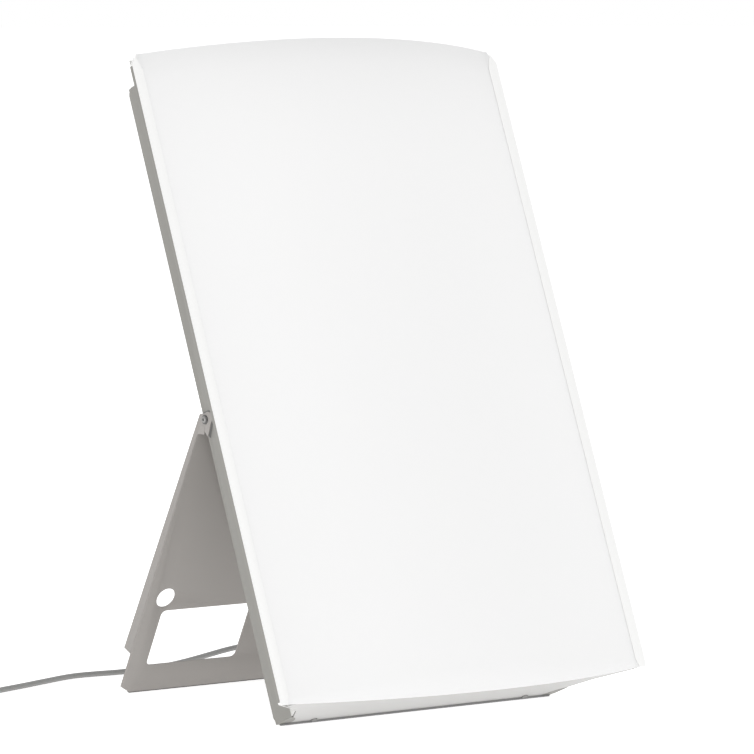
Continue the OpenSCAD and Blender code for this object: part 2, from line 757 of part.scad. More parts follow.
module mains_leads() {
    block_w = sheet_t + terminal_in;
    gland_bed = 1;
    gland_end = 12;
    pair = 2;
    color([0.45, 0.3, 0.2]) lean_back() {
        lead([[gland_x - pair, gland_bed, service_v], [gland_x - pair, gland_end, service_v],
            [gland_x - 4, 17, service_v - 2], [gland_x - 14, 19, service_v - 14],
            [terminal_x + 14, 14, service_v - 34], [terminal_x + 4, block_w, service_v - 42],
            [terminal_x + 4, block_w, terminal_v + 17]]);
        lead([[gland_x + pair, gland_bed, service_v], [gland_x + pair, gland_end, service_v],
            [gland_x + 1, 18, service_v + 3], [gland_x - 16, 22, service_v + 6],
            [switch_x + 20, 22.4, service_v + 4], [switch_x + 8, 21.6, service_v + 3],
            [switch_x + 3, switch_depth + 2, service_v + 3], [switch_x + 3, switch_depth, service_v + 3]]);
        lead([[terminal_x - 4, block_w, terminal_v + 5], [terminal_x - 4, block_w, terminal_v - 12],
            [terminal_x - 20, 10, terminal_v - 30], [terminal_x - 44, lead_mid, terminal_v - 12],
            [terminal_x - 54, lead_mid, service_v - 4], [terminal_x - 56, lead_mid, ballast_top - 50],
            [terminal_x - 58, lead_mid, ballast_top + 10], [ballast_way(3), 15, ballast_top + 26],
            [ballast_way(2), ballast_plug_w, ballast_top + 20],
            [ballast_way(2), ballast_plug_w, ballast_top - way_depth]]);
    }
}

module lamp_leads() {
    bed = reflector_base + reflector_t;
    color([0.85, 0.85, 0.85]) lean_back() for (s = [-1, 1]) {
        turn_x = ballast_x + s * (ballast_w / 2 + 8);
        pick_x = ballast_way(s < 0 ? 0 : 3);
        lead([[pick_x, ballast_plug_w, ballast_top - way_depth], [pick_x, ballast_plug_w, ballast_top + 4],
            [(pick_x + turn_x) / 2, 14, ballast_top + 9], [turn_x, 10, ballast_top],
            [turn_x, lead_floor + 1, ballast_top - 70], [turn_x, lead_floor, ballast_v0 + 120],
            [turn_x, lead_floor + 1, ballast_v0 + 10], [s * (lamp_x - 15), 10, grommet_v + 14],
            [s * (lamp_x - 4), 18, grommet_v + 4], [s * lamp_x, bed, grommet_v],
            [s * lamp_x, bed + 6, grommet_v - 8], [s * lamp_x, bed + 6, base_v0 + 8],
            [s * lamp_x, bed + 6, base_v0]]);
    }
}

module lead_grommets() {
    bed = reflector_base + reflector_t;
    color(dark) lean_back() for (s = [-1, 1]) translate([s * lamp_x, -bed, grommet_v])
        rotate([90, 0, 0]) difference() {
            union() {
                cylinder(r = grommet_r + 1.5, h = 1.5);
                translate([0, 0, -reflector_t]) cylinder(r = grommet_r, h = reflector_t + eps);
            }
            translate([0, 0, -reflector_t - cut]) cylinder(r = grommet_r - 1.2, h = 6);
        }
}

module switch_frame() {
    rim_w = switch_cut_w + 2;
    rim_l = switch_cut_l + 2;
    well_w = rocker_w + 0.8;
    well_l = rocker_l + 0.8;
    color(dark) lean_back() translate([switch_x, 0, service_v]) difference() {
        union() {
            translate([-rim_w / 2, 0, -rim_l / 2]) cube([rim_w, switch_rim, rim_l]);
            translate([-switch_cut_w / 2 + 0.1, -switch_depth, -switch_cut_l / 2 + 0.1])
                cube([switch_cut_w - 0.2, switch_depth + eps, switch_cut_l - 0.2]);
        }
        translate([-well_w / 2, -7, -well_l / 2]) cube([well_w, 7 + switch_rim + cut, well_l]);
        translate([-rocker_w / 2 - rocker_pin_end - 0.1, -rocker_pin_in, 0]) rotate([0, 90, 0])
            cylinder(r = rocker_pin_r + 0.05, h = rocker_w + 2 * rocker_pin_end + 0.2, $fn = 32);
    }
}

// Rocker: a shallow V over a cross pin, at rest tilted to one side
module switch_rocker() {
    crown = 3.2;
    end_y = 1.6;
    color([0.2, 0.2, 0.21]) lean_back() translate([switch_x, -rocker_pin_in, service_v])
        rotate([rocker_tilt, 0, 0]) {
            translate([-rocker_w / 2, rocker_pin_in, 0]) rotate([90, 0, 90]) linear_extrude(rocker_w)
                polygon([[-3.6, -3], [-3.6, 3], [end_y, rocker_l / 2 - 0.6], [crown, rocker_l / 2 - 0.9],
                    [end_y + 0.5, 0], [crown, -rocker_l / 2 + 0.9], [end_y, -rocker_l / 2 + 0.6]]);
            translate([-rocker_w / 2 - rocker_pin_end, 0, 0]) rotate([0, 90, 0])
                cylinder(r = rocker_pin_r, h = rocker_w + 2 * rocker_pin_end, $fn = 32);
        }
}

// ---- cord exit ----

module cord_gland() {
    color(dark) lean_back() translate([gland_x, 0, service_v]) rotate([-90, 0, 0]) difference() {
        union() {
            cylinder(r = gland_r + 3, h = gland_flange);
            translate([0, 0, -10]) cylinder(r = gland_r, h = 10 + eps);
        }
        translate([0, 0, -10 - cut]) cylinder(r = 4.5, h = 10);
    }
}

module gland_nut() {
    color(dark) lean_back() translate([gland_x, -sheet_t - 4, service_v]) rotate([-90, 0, 0]) difference() {
        cylinder(r = gland_r + 4, h = 4, $fn = 6);
        translate([0, 0, -cut]) cylinder(r = gland_r + 0.02, h = 4 + 2 * cut);
    }
}

// Tapered sleeve with three relief rings
module cord_boot() {
    root_r = 5.6;
    tip_r = 3.6;
    color(dark) lean_back() translate([gland_x, gland_flange, service_v]) rotate([-90, 0, 0]) {
        cylinder(r1 = root_r, r2 = tip_r, h = boot_len);
        for (k = [0.25, 0.45, 0.65]) translate([0, 0, boot_len * k])
            cylinder(r = root_r + (tip_r - root_r) * k + 0.5, h = 1.8);
    }
}

// ---- pivot ----

module pivot_screw(s) {
    color(steel) lean_back() side(s) translate([ear_in + sheet_t + side_play, -pivot_in, pivot_v])
        rotate([0, 90, 0]) pan_screw(pivot_r, leg_half - wall_in + side_play + 6, pivot_head_r,
            pivot_head_h, 1.7);
}

// Ear in the tray's directions: forward from the pivot, and down the tray
module ear_shape(rim) {
    rotate(180 - open_angle) {
        slot_2d(ear_reach, ear_r + rim);
        polygon([[0, 0], [ear_reach, -1], [ear_reach + 0.85 * ear_r + rim, 0.4 * ear_r],
            [rim - web_in, ear_web + rim], [1 - ear_r, 0.6 * ear_web + rim]]);
    }
}

// Washer with the outline of the ear, a little larger, and flat against the leg's plate
module pivot_washer(s) {
    color(dark) on_leg() side(s) translate([tray_w / 2 + side_play, 0, 0]) rotate([90, 0, 90])
        linear_extrude(washer_t) difference() {
            ear_shape(washer_rim);
            circle(pivot_r + pivot_play);
            translate([leg_set - 0.1, -leg_top - 2 * ear_web]) square([2 * ear_r, 2 * ear_web + 0.1]);
        }
}

// Threaded bushes pressed into the tray's walls
module pivot_bushes() {
    bush_l = 6;
    color(steel) lean_back() for (s = [-1, 1]) side(s) translate([wall_in - bush_l, -pivot_in, pivot_v])
        rotate([0, 90, 0]) difference() {
            cylinder(r = pivot_in - sheet_t - 0.1, h = bush_l);
            translate([0, 0, -cut]) cylinder(r = pivot_r + 0.02, h = bush_l + 2 * cut);
        }
}

// ---- leg ----

// Flange and ear of one side, drawn as rear distance and height
module ear_outline() {
    difference() {
        union() {
            ear_shape(0);
            polygon([[leg_set, -leg_flange_end], [leg_set + leg_flange, -leg_flange_end],
                [leg_set + leg_flange_top, 0.5], (ear_r - 0.3) * [sin(open_angle), cos(open_angle)],
                [0, 0], [1 - ear_r, -leg_top - ear_web * 0.7], [leg_set, -leg_top - ear_web]]);
        }
        circle(pivot_r + pivot_play);
    }
}

module leg() {
    foot_cut_v = 6.5;
    plate_end = leg_len - foot_t;
    color(leg_paint) on_leg() {
        difference() {
            translate([-leg_half, leg_set, -plate_end]) cube([2 * leg_half, sheet_t, plate_end - leg_top]);
            for (s = [-1, 1]) side(s) translate([leg_half, leg_set + sheet_t + cut, -plate_end])
                rotate([90, 0, 0]) linear_extrude(sheet_t + 2 * cut)
                    polygon([[cut, -cut], [cut, foot_cut_v + cut * foot_cut_v / foot_cut_x],
                        [-foot_cut_x, 0], [-foot_cut_x, -cut]]);
            for (s = [-1, 1]) side(s) {
                translate([leg_half - grip_side - grip_w, leg_set + sheet_t + cut, -grip_top - grip_h])
                    rotate([90, 0, 0]) linear_extrude(sheet_t + 2 * cut) round_rect(grip_w, grip_h, grip_r);
                translate([leg_half - hang_side, leg_set + sheet_t + cut, -hang_drop])
                    rotate([90, 0, 0]) cylinder(r = hang_r, h = sheet_t + 2 * cut);
            }
        }
        for (s = [-1, 1]) side(s) translate([ear_in, 0, 0]) rotate([90, 0, 90])
            linear_extrude(sheet_t) ear_outline();
    }
}

// Rubber strip on the leg's lower edge, cut flat where it stands
module leg_foot_strip() {
    strip_half = leg_half - foot_cut_x - 0.5;
    lap = 7;
    color(dark) intersection() {
        on_leg() {
            translate([-strip_half, leg_set, -leg_len]) cube([2 * strip_half, foot_w, foot_t]);
            translate([-strip_half, leg_set + sheet_t, -leg_len])
                cube([2 * strip_half, foot_w - sheet_t, foot_t + lap]);
        }
        translate([-panel_w, -panel_h, 0]) cube([2 * panel_w, 2 * panel_h, panel_h]);
    }
}

// Rubber strip under the tray's back edge, cut flat where it stands
module tray_foot_strip() {
    strip_half = tray_w / 2 - wall_cut;
    color(dark) intersection() {
        lean_back() translate([-strip_half, -foot_w, tray_v0 - foot_t])
            cube([2 * strip_half, foot_w, foot_t]);
        translate([-panel_w, -panel_h, 0]) cube([2 * panel_w, 2 * panel_h, panel_h]);
    }
}

// ---- free cord ----

module cord_run() {
    color(pale_cord) sweep_tube(curve_through(run_points, 2), cord_r, 8);
}

module cord_coil() {
    color(pale_cord) sweep_tube(coil_points, cord_r, 6);
}

module cord_tail() {
    color(pale_cord) sweep_tube(tail_points, cord_r, 8);
}

// Strap round both layers of the coil
module cord_tie() {
    width = 7;
    inner_x = coil_r - cord_r - tie_play;
    outer_x = coil_outer + cord_r + tie_play;
    inner_h = coil_z1 + cord_r + tie_play - tie_t;
    color(dark) translate([coil_centre[0], coil_centre[1], 0]) rotate(tie_angle)
        translate([0, width / 2, 0]) rotate([90, 0, 0]) linear_extrude(width) difference() {
            translate([inner_x - tie_t, 0]) square([outer_x - inner_x + 2 * tie_t, inner_h + 2 * tie_t]);
            translate([inner_x, tie_t]) square([outer_x - inner_x, inner_h]);
        }
}

// Places what is drawn with the cord entering at the origin and the pins along +X
module at_plug() {
    translate(tail_points[len(tail_points) - 1])
        rotate(atan2(coil_out_dir[1], coil_out_dir[0])) children();
}

module plug_body() {
    color(pale_cord) at_plug() {
        rotate([0, 90, 0]) cylinder(r1 = cord_r + 1.2, r2 = plug_w / 2 - 1, h = plug_neck + 1);
        translate([plug_neck, -plug_l / 2, -plug_w / 2]) linear_extrude(plug_w)
            round_rect(plug_h, plug_l, 5);
    }
}

module plug_pins() {
    color(steel) at_plug() for (y = [-1, 1]) translate([plug_neck + plug_h, y * plug_pin_gap / 2, 0])
        rotate([0, 90, 0]) cylinder(r = plug_pin_r, h = plug_pin_len);
}

tray();
reflector();
edge_rail(-1);  // edge_rail_left
edge_rail(1);  // edge_rail_right
diffuser();
end_plate(tray_v0);  // end_plate_bottom
end_plate(tray_v1 - end_t);  // end_plate_top
end_plate_screws();
reflector_screws();
lamp_glass(-1);  // lamp_glass_left
lamp_glass(1);  // lamp_glass_right
lamp_base(-1);  // lamp_base_left
lamp_base(1);  // lamp_base_right
lamp_pins();
lamp_holder(-1);  // lamp_holder_left
lamp_holder(1);  // lamp_holder_right
lamp_clip(-1);  // lamp_clip_left
lamp_clip(1);  // lamp_clip_right
ballast();
ballast_terminals();
ballast_screws();
terminal_block();
mains_leads();
lamp_leads();
lead_grommets();
switch_frame();
switch_rocker();
cord_gland();
gland_nut();
cord_boot();
pivot_bushes();
pivot_screw(-1);  // pivot_screw_left
pivot_screw(1);  // pivot_screw_right
pivot_washer(-1);  // pivot_washer_left
pivot_washer(1);  // pivot_washer_right
tray_foot_strip();
leg();
leg_foot_strip();
cord_run();
cord_coil();
cord_tail();
cord_tie();
plug_body();
plug_pins();
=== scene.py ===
"""Dresses the light therapy lamp: finishes, rounded sheet metal, diffuser, screws and the cord."""

import json
import math

import bmesh
import bpy
from mathutils import Matrix, Vector
from mathutils.geometry import delaunay_2d_cdt


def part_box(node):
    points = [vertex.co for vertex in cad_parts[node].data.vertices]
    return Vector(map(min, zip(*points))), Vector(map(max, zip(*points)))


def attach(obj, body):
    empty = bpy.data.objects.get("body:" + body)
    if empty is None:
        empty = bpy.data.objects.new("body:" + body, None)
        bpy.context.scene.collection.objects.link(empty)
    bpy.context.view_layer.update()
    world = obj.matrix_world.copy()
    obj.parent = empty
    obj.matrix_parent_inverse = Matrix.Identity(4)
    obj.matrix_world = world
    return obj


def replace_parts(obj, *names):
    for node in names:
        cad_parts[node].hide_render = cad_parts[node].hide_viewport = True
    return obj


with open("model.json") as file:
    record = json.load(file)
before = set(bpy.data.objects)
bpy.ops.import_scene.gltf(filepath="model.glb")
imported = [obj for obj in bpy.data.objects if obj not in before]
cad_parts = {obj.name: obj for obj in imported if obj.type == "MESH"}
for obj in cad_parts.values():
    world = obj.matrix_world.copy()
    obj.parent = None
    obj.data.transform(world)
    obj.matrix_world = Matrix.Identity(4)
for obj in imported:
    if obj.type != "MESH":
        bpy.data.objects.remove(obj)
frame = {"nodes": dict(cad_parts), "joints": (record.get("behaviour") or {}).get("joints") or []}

bl_info = {
    "name": "Light therapy lamp",
    "version": (1, 0, 0),
    "blender": (4, 5, 0),
    "location": "View3D > Sidebar > Lamp",
    "description": "Builds the finishes and fine shapes of a leaning light panel",
    "category": "Object",
}

MM = 0.001
PHOTO_SIDE = 754
SENSOR = 36.0

# The panel's place: it leans back about the X axis, measured from the leg's pivot
LEAN = math.radians(22.5)
SPLAY = math.radians(25.5)
PIVOT_V = 285.5 * MM
PIVOT_IN = 4 * MM
JOINTS = {joint["name"]: joint for joint in frame["joints"]}
PIVOT = Vector(JOINTS["leg_fold"]["pos_m"])
LEAN_TURN = Matrix.Rotation(-LEAN, 4, "X")
PANEL = Matrix.Translation(PIVOT) @ LEAN_TURN @ Matrix.Translation((0, PIVOT_IN, -PIVOT_V))
LEG = Matrix.Translation(PIVOT) @ Matrix.Rotation(SPLAY, 4, "X")

# Sizes shared by several pieces
PANEL_H = 600 * MM
PANEL_W = 415 * MM
HOUSING_D = 80.5 * MM
BOW_RISE = 37 * MM
DIFFUSER_T = 2 * MM
RAIL_W = 10.5 * MM
RAIL_T = 0.7 * MM
TRAY_W = 315 * MM
TRAY_D = 26 * MM
TRAY_V0 = 6.5 * MM
TRAY_V1 = PANEL_H - 2 * MM
SHEET_T = 1.2 * MM
SERVICE_V = 334 * MM
GLAND_X = 100 * MM
GLAND_FLANGE = 2.5 * MM
BOOT_LEN = 34 * MM
CORD_D = 5.2 * MM
WASHER_T = 0.6 * MM
CLEARANCE = 0.05 * MM
END_SCREW_X = 120 * MM
END_SCREW_DEPTH = 8 * MM

# Head radius, head height and socket of the panel's small screws, and their shank's radius
SMALL_SCREW = (2.8 * MM, 1.6 * MM, 1.2 * MM)
SMALL_SHANK = 1.5 * MM

# Area over perimeter from which a face counts as a plane sheet, shaded flat
FLAT_FACE = 3 * MM

# The lower edge of diffuser and rails is cut on a slant that drops towards the crown
FOOT_SLANT = math.radians(21)
FOOT_SPOT = Vector((0, -97.5 * MM, 0))
FOOT_NORMAL = Vector((0, math.sin(FOOT_SLANT), -math.cos(FOOT_SLANT)))


def panel_point(x, depth, up):
    """A point of the leaning panel: across, forward of the tray's back, up from the lower edge."""
    return PANEL @ Vector((x, -depth, up))


# ---------------------------------------------------------------- settings


class LampSizes(bpy.types.PropertyGroup):
    """Fine sizes that the finish of the lamp depends on."""

    edge_round: bpy.props.FloatProperty(
        name="Edge rounding",
        description="Rounding of the edges of cut sheet metal",
        default=0.25 * MM,
        unit="LENGTH",
    )
    fold_round: bpy.props.FloatProperty(
        name="Fold rounding",
        description="Outer radius of the folds in tray and leg",
        default=2 * MM,
        unit="LENGTH",
    )
    hole_pitch: bpy.props.FloatProperty(
        name="Perforation pitch",
        description="Intended distance between the holes of one row in the end plates",
        default=9 * MM,
        unit="LENGTH",
    )
    hole_radius: bpy.props.FloatProperty(
        name="Perforation radius",
        description="Intended radius of the holes in the end plates",
        default=1.55 * MM,
        unit="LENGTH",
    )
    # Also drives the rails' glow, which is painted light: they shine though they are no lamp.
    glow: bpy.props.FloatProperty(
        name="Glow",
        description="Strength of the light that the diffuser gives",
        default=0.19,
        min=0.0,
        max=4.0,
    )


class LampColours(bpy.types.PropertyGroup):
    """Colours of the lamp's finishes."""

    tray: bpy.props.FloatVectorProperty(
        name="Tray",
        description="Grey powder coat of the tray",
        default=(0.325, 0.318, 0.297),
        subtype="COLOR",
    )
    # The leg wears the tray's coat; this colour is set lighter as painted light, lifting the leg out of
    # the panel's shade.
    leg: bpy.props.FloatVectorProperty(
        name="Leg",
        description="Grey powder coat of the leg",
        default=(0.397, 0.376, 0.358),
        subtype="COLOR",
    )
    # Only the reflector takes this white; the rails take their own, and the end plates a darker copy
    # that paints shade.
    white: bpy.props.FloatVectorProperty(
        name="White",
        description="White of rails, reflector and end plates",
        default=(0.84, 0.84, 0.82),
        subtype="COLOR",
    )
    opal: bpy.props.FloatVectorProperty(
        name="Opal",
        description="Opal acrylic of the diffuser",
        default=(0.88, 0.88, 0.88),
        subtype="COLOR",
    )
    cord: bpy.props.FloatVectorProperty(
        name="Cord",
        description="Pale grey sheath of cord and plug",
        default=(0.31, 0.31, 0.305),
        subtype="COLOR",
    )


class LampStage(bpy.types.PropertyGroup):
    """Camera and light of the studio."""

    azimuth: bpy.props.FloatProperty(
        name="Azimuth",
        description="Camera's turn round the lamp, from straight ahead",
        default=math.radians(-38.77),
        subtype="ANGLE",
    )
    elevation: bpy.props.FloatProperty(
        name="Elevation",
        description="Camera's height above the horizon",
        default=math.radians(4.92),
        subtype="ANGLE",
    )
    roll: bpy.props.FloatProperty(
        name="Roll",
        description="Camera's turn about its own axis",
        default=math.radians(0.61),
        subtype="ANGLE",
    )
    distance: bpy.props.FloatProperty(
        name="Distance",
        description="Camera's distance from the middle of the panel's lower edge, 300 mm up",
        default=4.4547,
        unit="LENGTH",
    )
    focal_pixels: bpy.props.FloatProperty(
        name="Focal length in pixels",
        description="Focal length over the width of a pixel of the photograph",
        default=5032.0,
    )
    centre_right: bpy.props.FloatProperty(
        name="Picture offset right",
        description="How far the picture's content lies to the right, in pixels",
        default=44.24,
    )
    centre_down: bpy.props.FloatProperty(
        name="Picture offset down",
        description="How far the picture's content lies down, in pixels",
        default=4.04,
    )


# ---------------------------------------------------------------- shader maths


class Value:
    """A shader socket that Python's sums work on."""

    def __init__(self, nodes, socket):
        self.nodes = nodes
        self.socket = socket

    def sum_with(self, operation, first, second):
        settings = {"operation": operation}
        return self.nodes.node("ShaderNodeMath", settings, {0: first, 1: second})

    def __add__(self, other):
        return self.sum_with("ADD", self, other)

    def __radd__(self, other):
        return self.sum_with("ADD", other, self)

    def __sub__(self, other):
        return self.sum_with("SUBTRACT", self, other)

    def __rsub__(self, other):
        return self.sum_with("SUBTRACT", other, self)

    def __mul__(self, other):
        return self.sum_with("MULTIPLY", self, other)

    def __rmul__(self, other):
        return self.sum_with("MULTIPLY", other, self)

    def __truediv__(self, other):
        return self.sum_with("DIVIDE", self, other)

    def __rtruediv__(self, other):
        return self.sum_with("DIVIDE", other, self)

    def __pow__(self, other):
        return self.sum_with("POWER", self, other)

    def __rpow__(self, other):
        return self.sum_with("POWER", other, self)

    def at_least(self, other):
        return self.sum_with("MAXIMUM", self, other)

    def at_most(self, other):
        return self.sum_with("MINIMUM", self, other)


class Nodes:
    """The nodes of one material or world, added one after the other."""

    def __init__(self, owner):
        owner.use_nodes = True
        self.tree = owner.node_tree
        self.tree.nodes.clear()

    def feed(self, socket, value):
        if isinstance(value, Value):
            self.tree.links.new(value.socket, socket)
        elif isinstance(value, (tuple, list, Vector)) and len(value) < len(socket.default_value):
            socket.default_value = (*value, 1.0)
        else:
            socket.default_value = value

    def node(self, kind, settings=None, inputs=None, output=0):
        """Adds a node of any kind: its settings first, then its sockets."""
        made = self.tree.nodes.new(kind)
        for key, value in (settings or {}).items():
            setattr(made, key, value)
        for key, value in (inputs or {}).items():
            self.feed(made.inputs[key], value)
        return Value(self, made.outputs[output]) if output is not None else None

    def noise(self, scale, detail=2.0, stretch=None):
        """Noise from 0 to 1 over the piece, with its grain as a count per metre."""
        place = self.node("ShaderNodeTexCoord", output="Object")
        if stretch:
            settings = {"operation": "MULTIPLY"}
            place = self.node("ShaderNodeVectorMath", settings, {0: place, 1: stretch})
        inputs = {"Vector": place, "Scale": scale, "Detail": detail}
        return self.node("ShaderNodeTexNoise", None, inputs)

    def mix(self, low, high, by):
        """A colour between two, as the value goes from 0 to 1."""
        inputs = {0: by, 6: (*low, 1.0), 7: (*high, 1.0)}
        return self.node("ShaderNodeMix", {"data_type": "RGBA"}, inputs, output=2)

    def shift(self, colour, low, high, by):
        """The colour, scaled from low to high as the value goes from 0 to 1."""
        return self.mix([part * low for part in colour], [part * high for part in colour], by)

    def bump(self, height, strength, distance):
        inputs = {"Height": height, "Strength": strength, "Distance": distance}
        return self.node("ShaderNodeBump", None, inputs)

    def seen(self):
        """1 for rays that show a thing itself, or its image in metal or glass."""
        rays = [
            self.node("ShaderNodeLightPath", output=name)
            for name in ("Is Camera Ray", "Is Glossy Ray", "Is Transmission Ray")
        ]
        return (rays[0] + rays[1] + rays[2]).at_most(1.0)


class Finish(Nodes):
    """One material."""

    def __init__(self, name):
        self.material = bpy.data.materials.new(name)
        super().__init__(self.material)

    def surface(self, **inputs):
        """Adds the surface shader and the output."""
        sockets = {key.replace("_", " "): value for key, value in inputs.items()}
        shader = self.node("ShaderNodeBsdfPrincipled", None, sockets)
        self.node("ShaderNodeOutputMaterial", None, {"Surface": shader}, output=None)
        return self.material


# ---------------------------------------------------------------- finishes


def powder_coat(name, colour):
    """Satin powder coat: a fine orange peel and faint mottling from the spray."""
    finish = Finish(name)
    peel = finish.noise(650, detail=3)
    cloud = finish.noise(9, detail=4)
    speck = finish.noise(2400, detail=1)
    tone = cloud * 0.7 + speck * 0.3
    return finish.surface(
        Base_Color=finish.shift(colour, 0.95, 1.05, tone),
        Roughness=0.40 + 0.12 * cloud + 0.08 * speck,
        Normal=finish.bump(peel, 0.22, 0.12 * MM),
        Specular_IOR_Level=0.4,
    )


def satin_white(name, colour, grain=420, glow=0.0):
    """White coated sheet or moulding with a soft, slightly uneven sheen, and a painted glow where one is
    given.
    """
    finish = Finish(name)
    peel = finish.noise(grain, detail=2)
    cloud = finish.noise(7, detail=3)
    return finish.surface(
        Base_Color=finish.shift(colour, 0.98, 1.01, cloud),
        Roughness=0.34 + 0.14 * cloud,
        Normal=finish.bump(peel, 0.12, 0.1 * MM),
        Emission_Color=(1.0, 1.0, 1.0),
        Emission_Strength=glow,
    )


def opal_acrylic(name, colour, glow):
    """Opal sheet lit from behind by two long tubes, dimmer towards its edges."""
    finish = Finish(name)
    place = finish.node("ShaderNodeTexCoord", output="Object")
    across = finish.node("ShaderNodeSeparateXYZ", None, {0: place}, output="X")
    up = finish.node("ShaderNodeSeparateXYZ", None, {0: place}, output="Z")
    edge = (across * across) / (PANEL_W * PANEL_W / 4)
    middle = PANEL_H * math.cos(LEAN) / 2
    end = (up - middle) / middle
    fall = edge ** 2 * 0.22 + (end * end) ** 4 * 0.15
    cloud = finish.noise(5, detail=2)
    grain = finish.noise(1500, detail=2)
    light = (1.0 - fall + 0.03 * cloud).at_most(1.0).at_least(0.0)
    return finish.surface(
        Base_Color=finish.shift(colour, 0.99, 1.0, cloud),
        Roughness=0.30 + 0.08 * cloud + 0.04 * grain,
        Normal=finish.bump(grain, 0.05, 0.04 * MM),
        Emission_Color=finish.shift((1.0, 1.0, 1.0), 0.0, 1.0, light),
        Emission_Strength=glow,
    )


def bare_metal(name, colour, roughness, grain=(1.0, 1.0, 0.04)):
    """Drawn or plated metal with fine lines along one direction."""
    finish = Finish(name)
    line = finish.noise(900, detail=3, stretch=grain)
    cloud = finish.noise(40, detail=3)
    return finish.surface(
        Base_Color=finish.shift(colour, 0.85, 1.05, cloud),
        Metallic=1.0,
        Roughness=roughness + 0.18 * line,
        Normal=finish.bump(line, 0.15, 0.05 * MM),
    )


def soft_plastic(name, colour, roughness=0.5, grain=1100, depth=0.2):
    """Moulded plastic, rubber or a cord's sheath, with a fine matt grain."""
    finish = Finish(name)
    cloud = finish.noise(30, detail=3)
    pore = finish.noise(grain, detail=3)
    return finish.surface(
        Base_Color=finish.shift(colour, 0.92, 1.06, cloud * 0.6 + pore * 0.4),
        Roughness=roughness - 0.06 + 0.14 * cloud + 0.06 * pore,
        Normal=finish.bump(pore, depth, 0.06 * MM),
    )


def tube_coating(name):
    """Phosphor-coated glass: chalk white under clear gloss, with a slightly uneven tone and glow."""
    finish = Finish(name)
    cloud = finish.noise(60, detail=3)
    return finish.surface(
        Base_Color=finish.shift((0.86, 0.86, 0.83), 0.94, 1.0, cloud),
        Roughness=0.16 + 0.08 * cloud,
        Coat_Weight=0.6,
        Emission_Color=finish.shift((1.0, 0.99, 0.95), 0.8, 1.0, cloud),
        Emission_Strength=0.8,
    )


FINISHES = {}


def make_finishes(colours, sizes):
    FINISHES.update(
        tray=powder_coat("tray_powder_coat", tuple(colours.tray)),
        # A lighter copy of the tray's coat: painted light on the leg, which stands in the panel's shade.
        leg=powder_coat("leg_coat_painted_lighter", tuple(colours.leg)),
        white=satin_white("white_coat", tuple(colours.white)),
        # A darker copy of the white coat: painted shade on the end plates, set for the downward-facing
        # bottom one.
        end=satin_white("end_plate_painted_shade", (0.59, 0.585, 0.575)),
        # The rails carry the diffuser's glow as painted light that brightens them.
        rail=satin_white("white_rail_painted_glow", (0.9, 0.9, 0.89), 800, sizes.glow),
        opal=opal_acrylic("opal_acrylic", tuple(colours.opal), sizes.glow),
        steel=bare_metal("zinc_steel", (0.34, 0.335, 0.33), 0.38),
        # Dark steel for the pivots' collars: a painted contact shadow under each screw head.
        dark_steel=bare_metal("painted_contact_shadow", (0.16, 0.16, 0.16), 0.38),
        spring=bare_metal("spring_steel", (0.60, 0.60, 0.62), 0.22),
        case=bare_metal("case_metal", (0.62, 0.62, 0.64), 0.38, grain=(0.04, 1.0, 1.0)),
        brass=bare_metal("contact_brass", (0.75, 0.58, 0.28), 0.24),
        glass=tube_coating("coated_glass"),
        holder=soft_plastic("white_moulding", (0.78, 0.78, 0.75), 0.42, 600, 0.1),
        black=soft_plastic("black_moulding", (0.035, 0.035, 0.038), 0.45),
        # Dark nylon washers: a real part whose dark rim also paints the shade round the leg's ear.
        washer=soft_plastic("washer_nylon_and_painted_shade", (0.17, 0.17, 0.168), 0.5),
        rubber=soft_plastic("foot_rubber", (0.13, 0.128, 0.124), 0.72, 700, 0.4),
        boot=soft_plastic("boot_rubber", (0.30, 0.30, 0.30), 0.55, 900, 0.25),
        cord=soft_plastic("cord_sheath", tuple(colours.cord), 0.46, 1400, 0.12),
        brown=soft_plastic("brown_lead", (0.20, 0.09, 0.04), 0.4),
        pale=soft_plastic("pale_lead", (0.70, 0.70, 0.68), 0.4),
    )


# ---------------------------------------------------------------- mesh tools


def new_piece(name, bm, finish, body, place=None, sharp=35.0):
    """Turns a bmesh into a finished object that rides on a body."""
    if place is not None:
        bm.transform(place)
    bmesh.ops.recalc_face_normals(bm, faces=bm.faces)
    smooth = [face.calc_area() < FLAT_FACE * face.calc_perimeter() for face in bm.faces]
    mesh = bpy.data.meshes.new(name)
    bm.to_mesh(mesh)
    bm.free()
    mesh.polygons.foreach_set("use_smooth", smooth)
    mesh.set_sharp_from_angle(angle=math.radians(sharp))
    mesh.materials.append(FINISHES[finish])
    piece = bpy.data.objects.new(name, mesh)
    bpy.context.scene.collection.objects.link(piece)
    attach(piece, body)
    return piece


def clean_copy(node):
    """A node's mesh as a bmesh with joined corners and whole flat faces."""
    bm = bmesh.new()
    bm.from_mesh(frame["nodes"][node].data)
    for layer in list(bm.loops.layers.uv):
        bm.loops.layers.uv.remove(layer)
    bmesh.ops.remove_doubles(bm, verts=bm.verts, dist=2e-6)
    bmesh.ops.dissolve_limit(
        bm, angle_limit=math.radians(0.4), verts=bm.verts, edges=bm.edges, delimit=set()
    )
    return bm


def round_edges(bm, width, chosen=None, segments=2, least=35.0):
    """Rounds the chosen sharp edges of a mesh."""
    sharp = []
    for edge in bm.edges:
        if len(edge.link_faces) != 2:
            continue
        if edge.calc_face_angle(0.0) < math.radians(least):
            continue
        if chosen is None or chosen(edge):
            sharp.append(edge)
    if sharp:
        bmesh.ops.bevel(
            bm, geom=sharp, offset=width, segments=segments, profile=0.5,
            affect="EDGES", clamp_overlap=False,
        )


def paint_faces(piece, finish, test):
    """Gives a second finish to the faces whose centre and normal pass a test."""
    piece.data.materials.append(FINISHES[finish])
    for face in piece.data.polygons:
        if test(face.center, face.normal):
            face.material_index = len(piece.data.materials) - 1


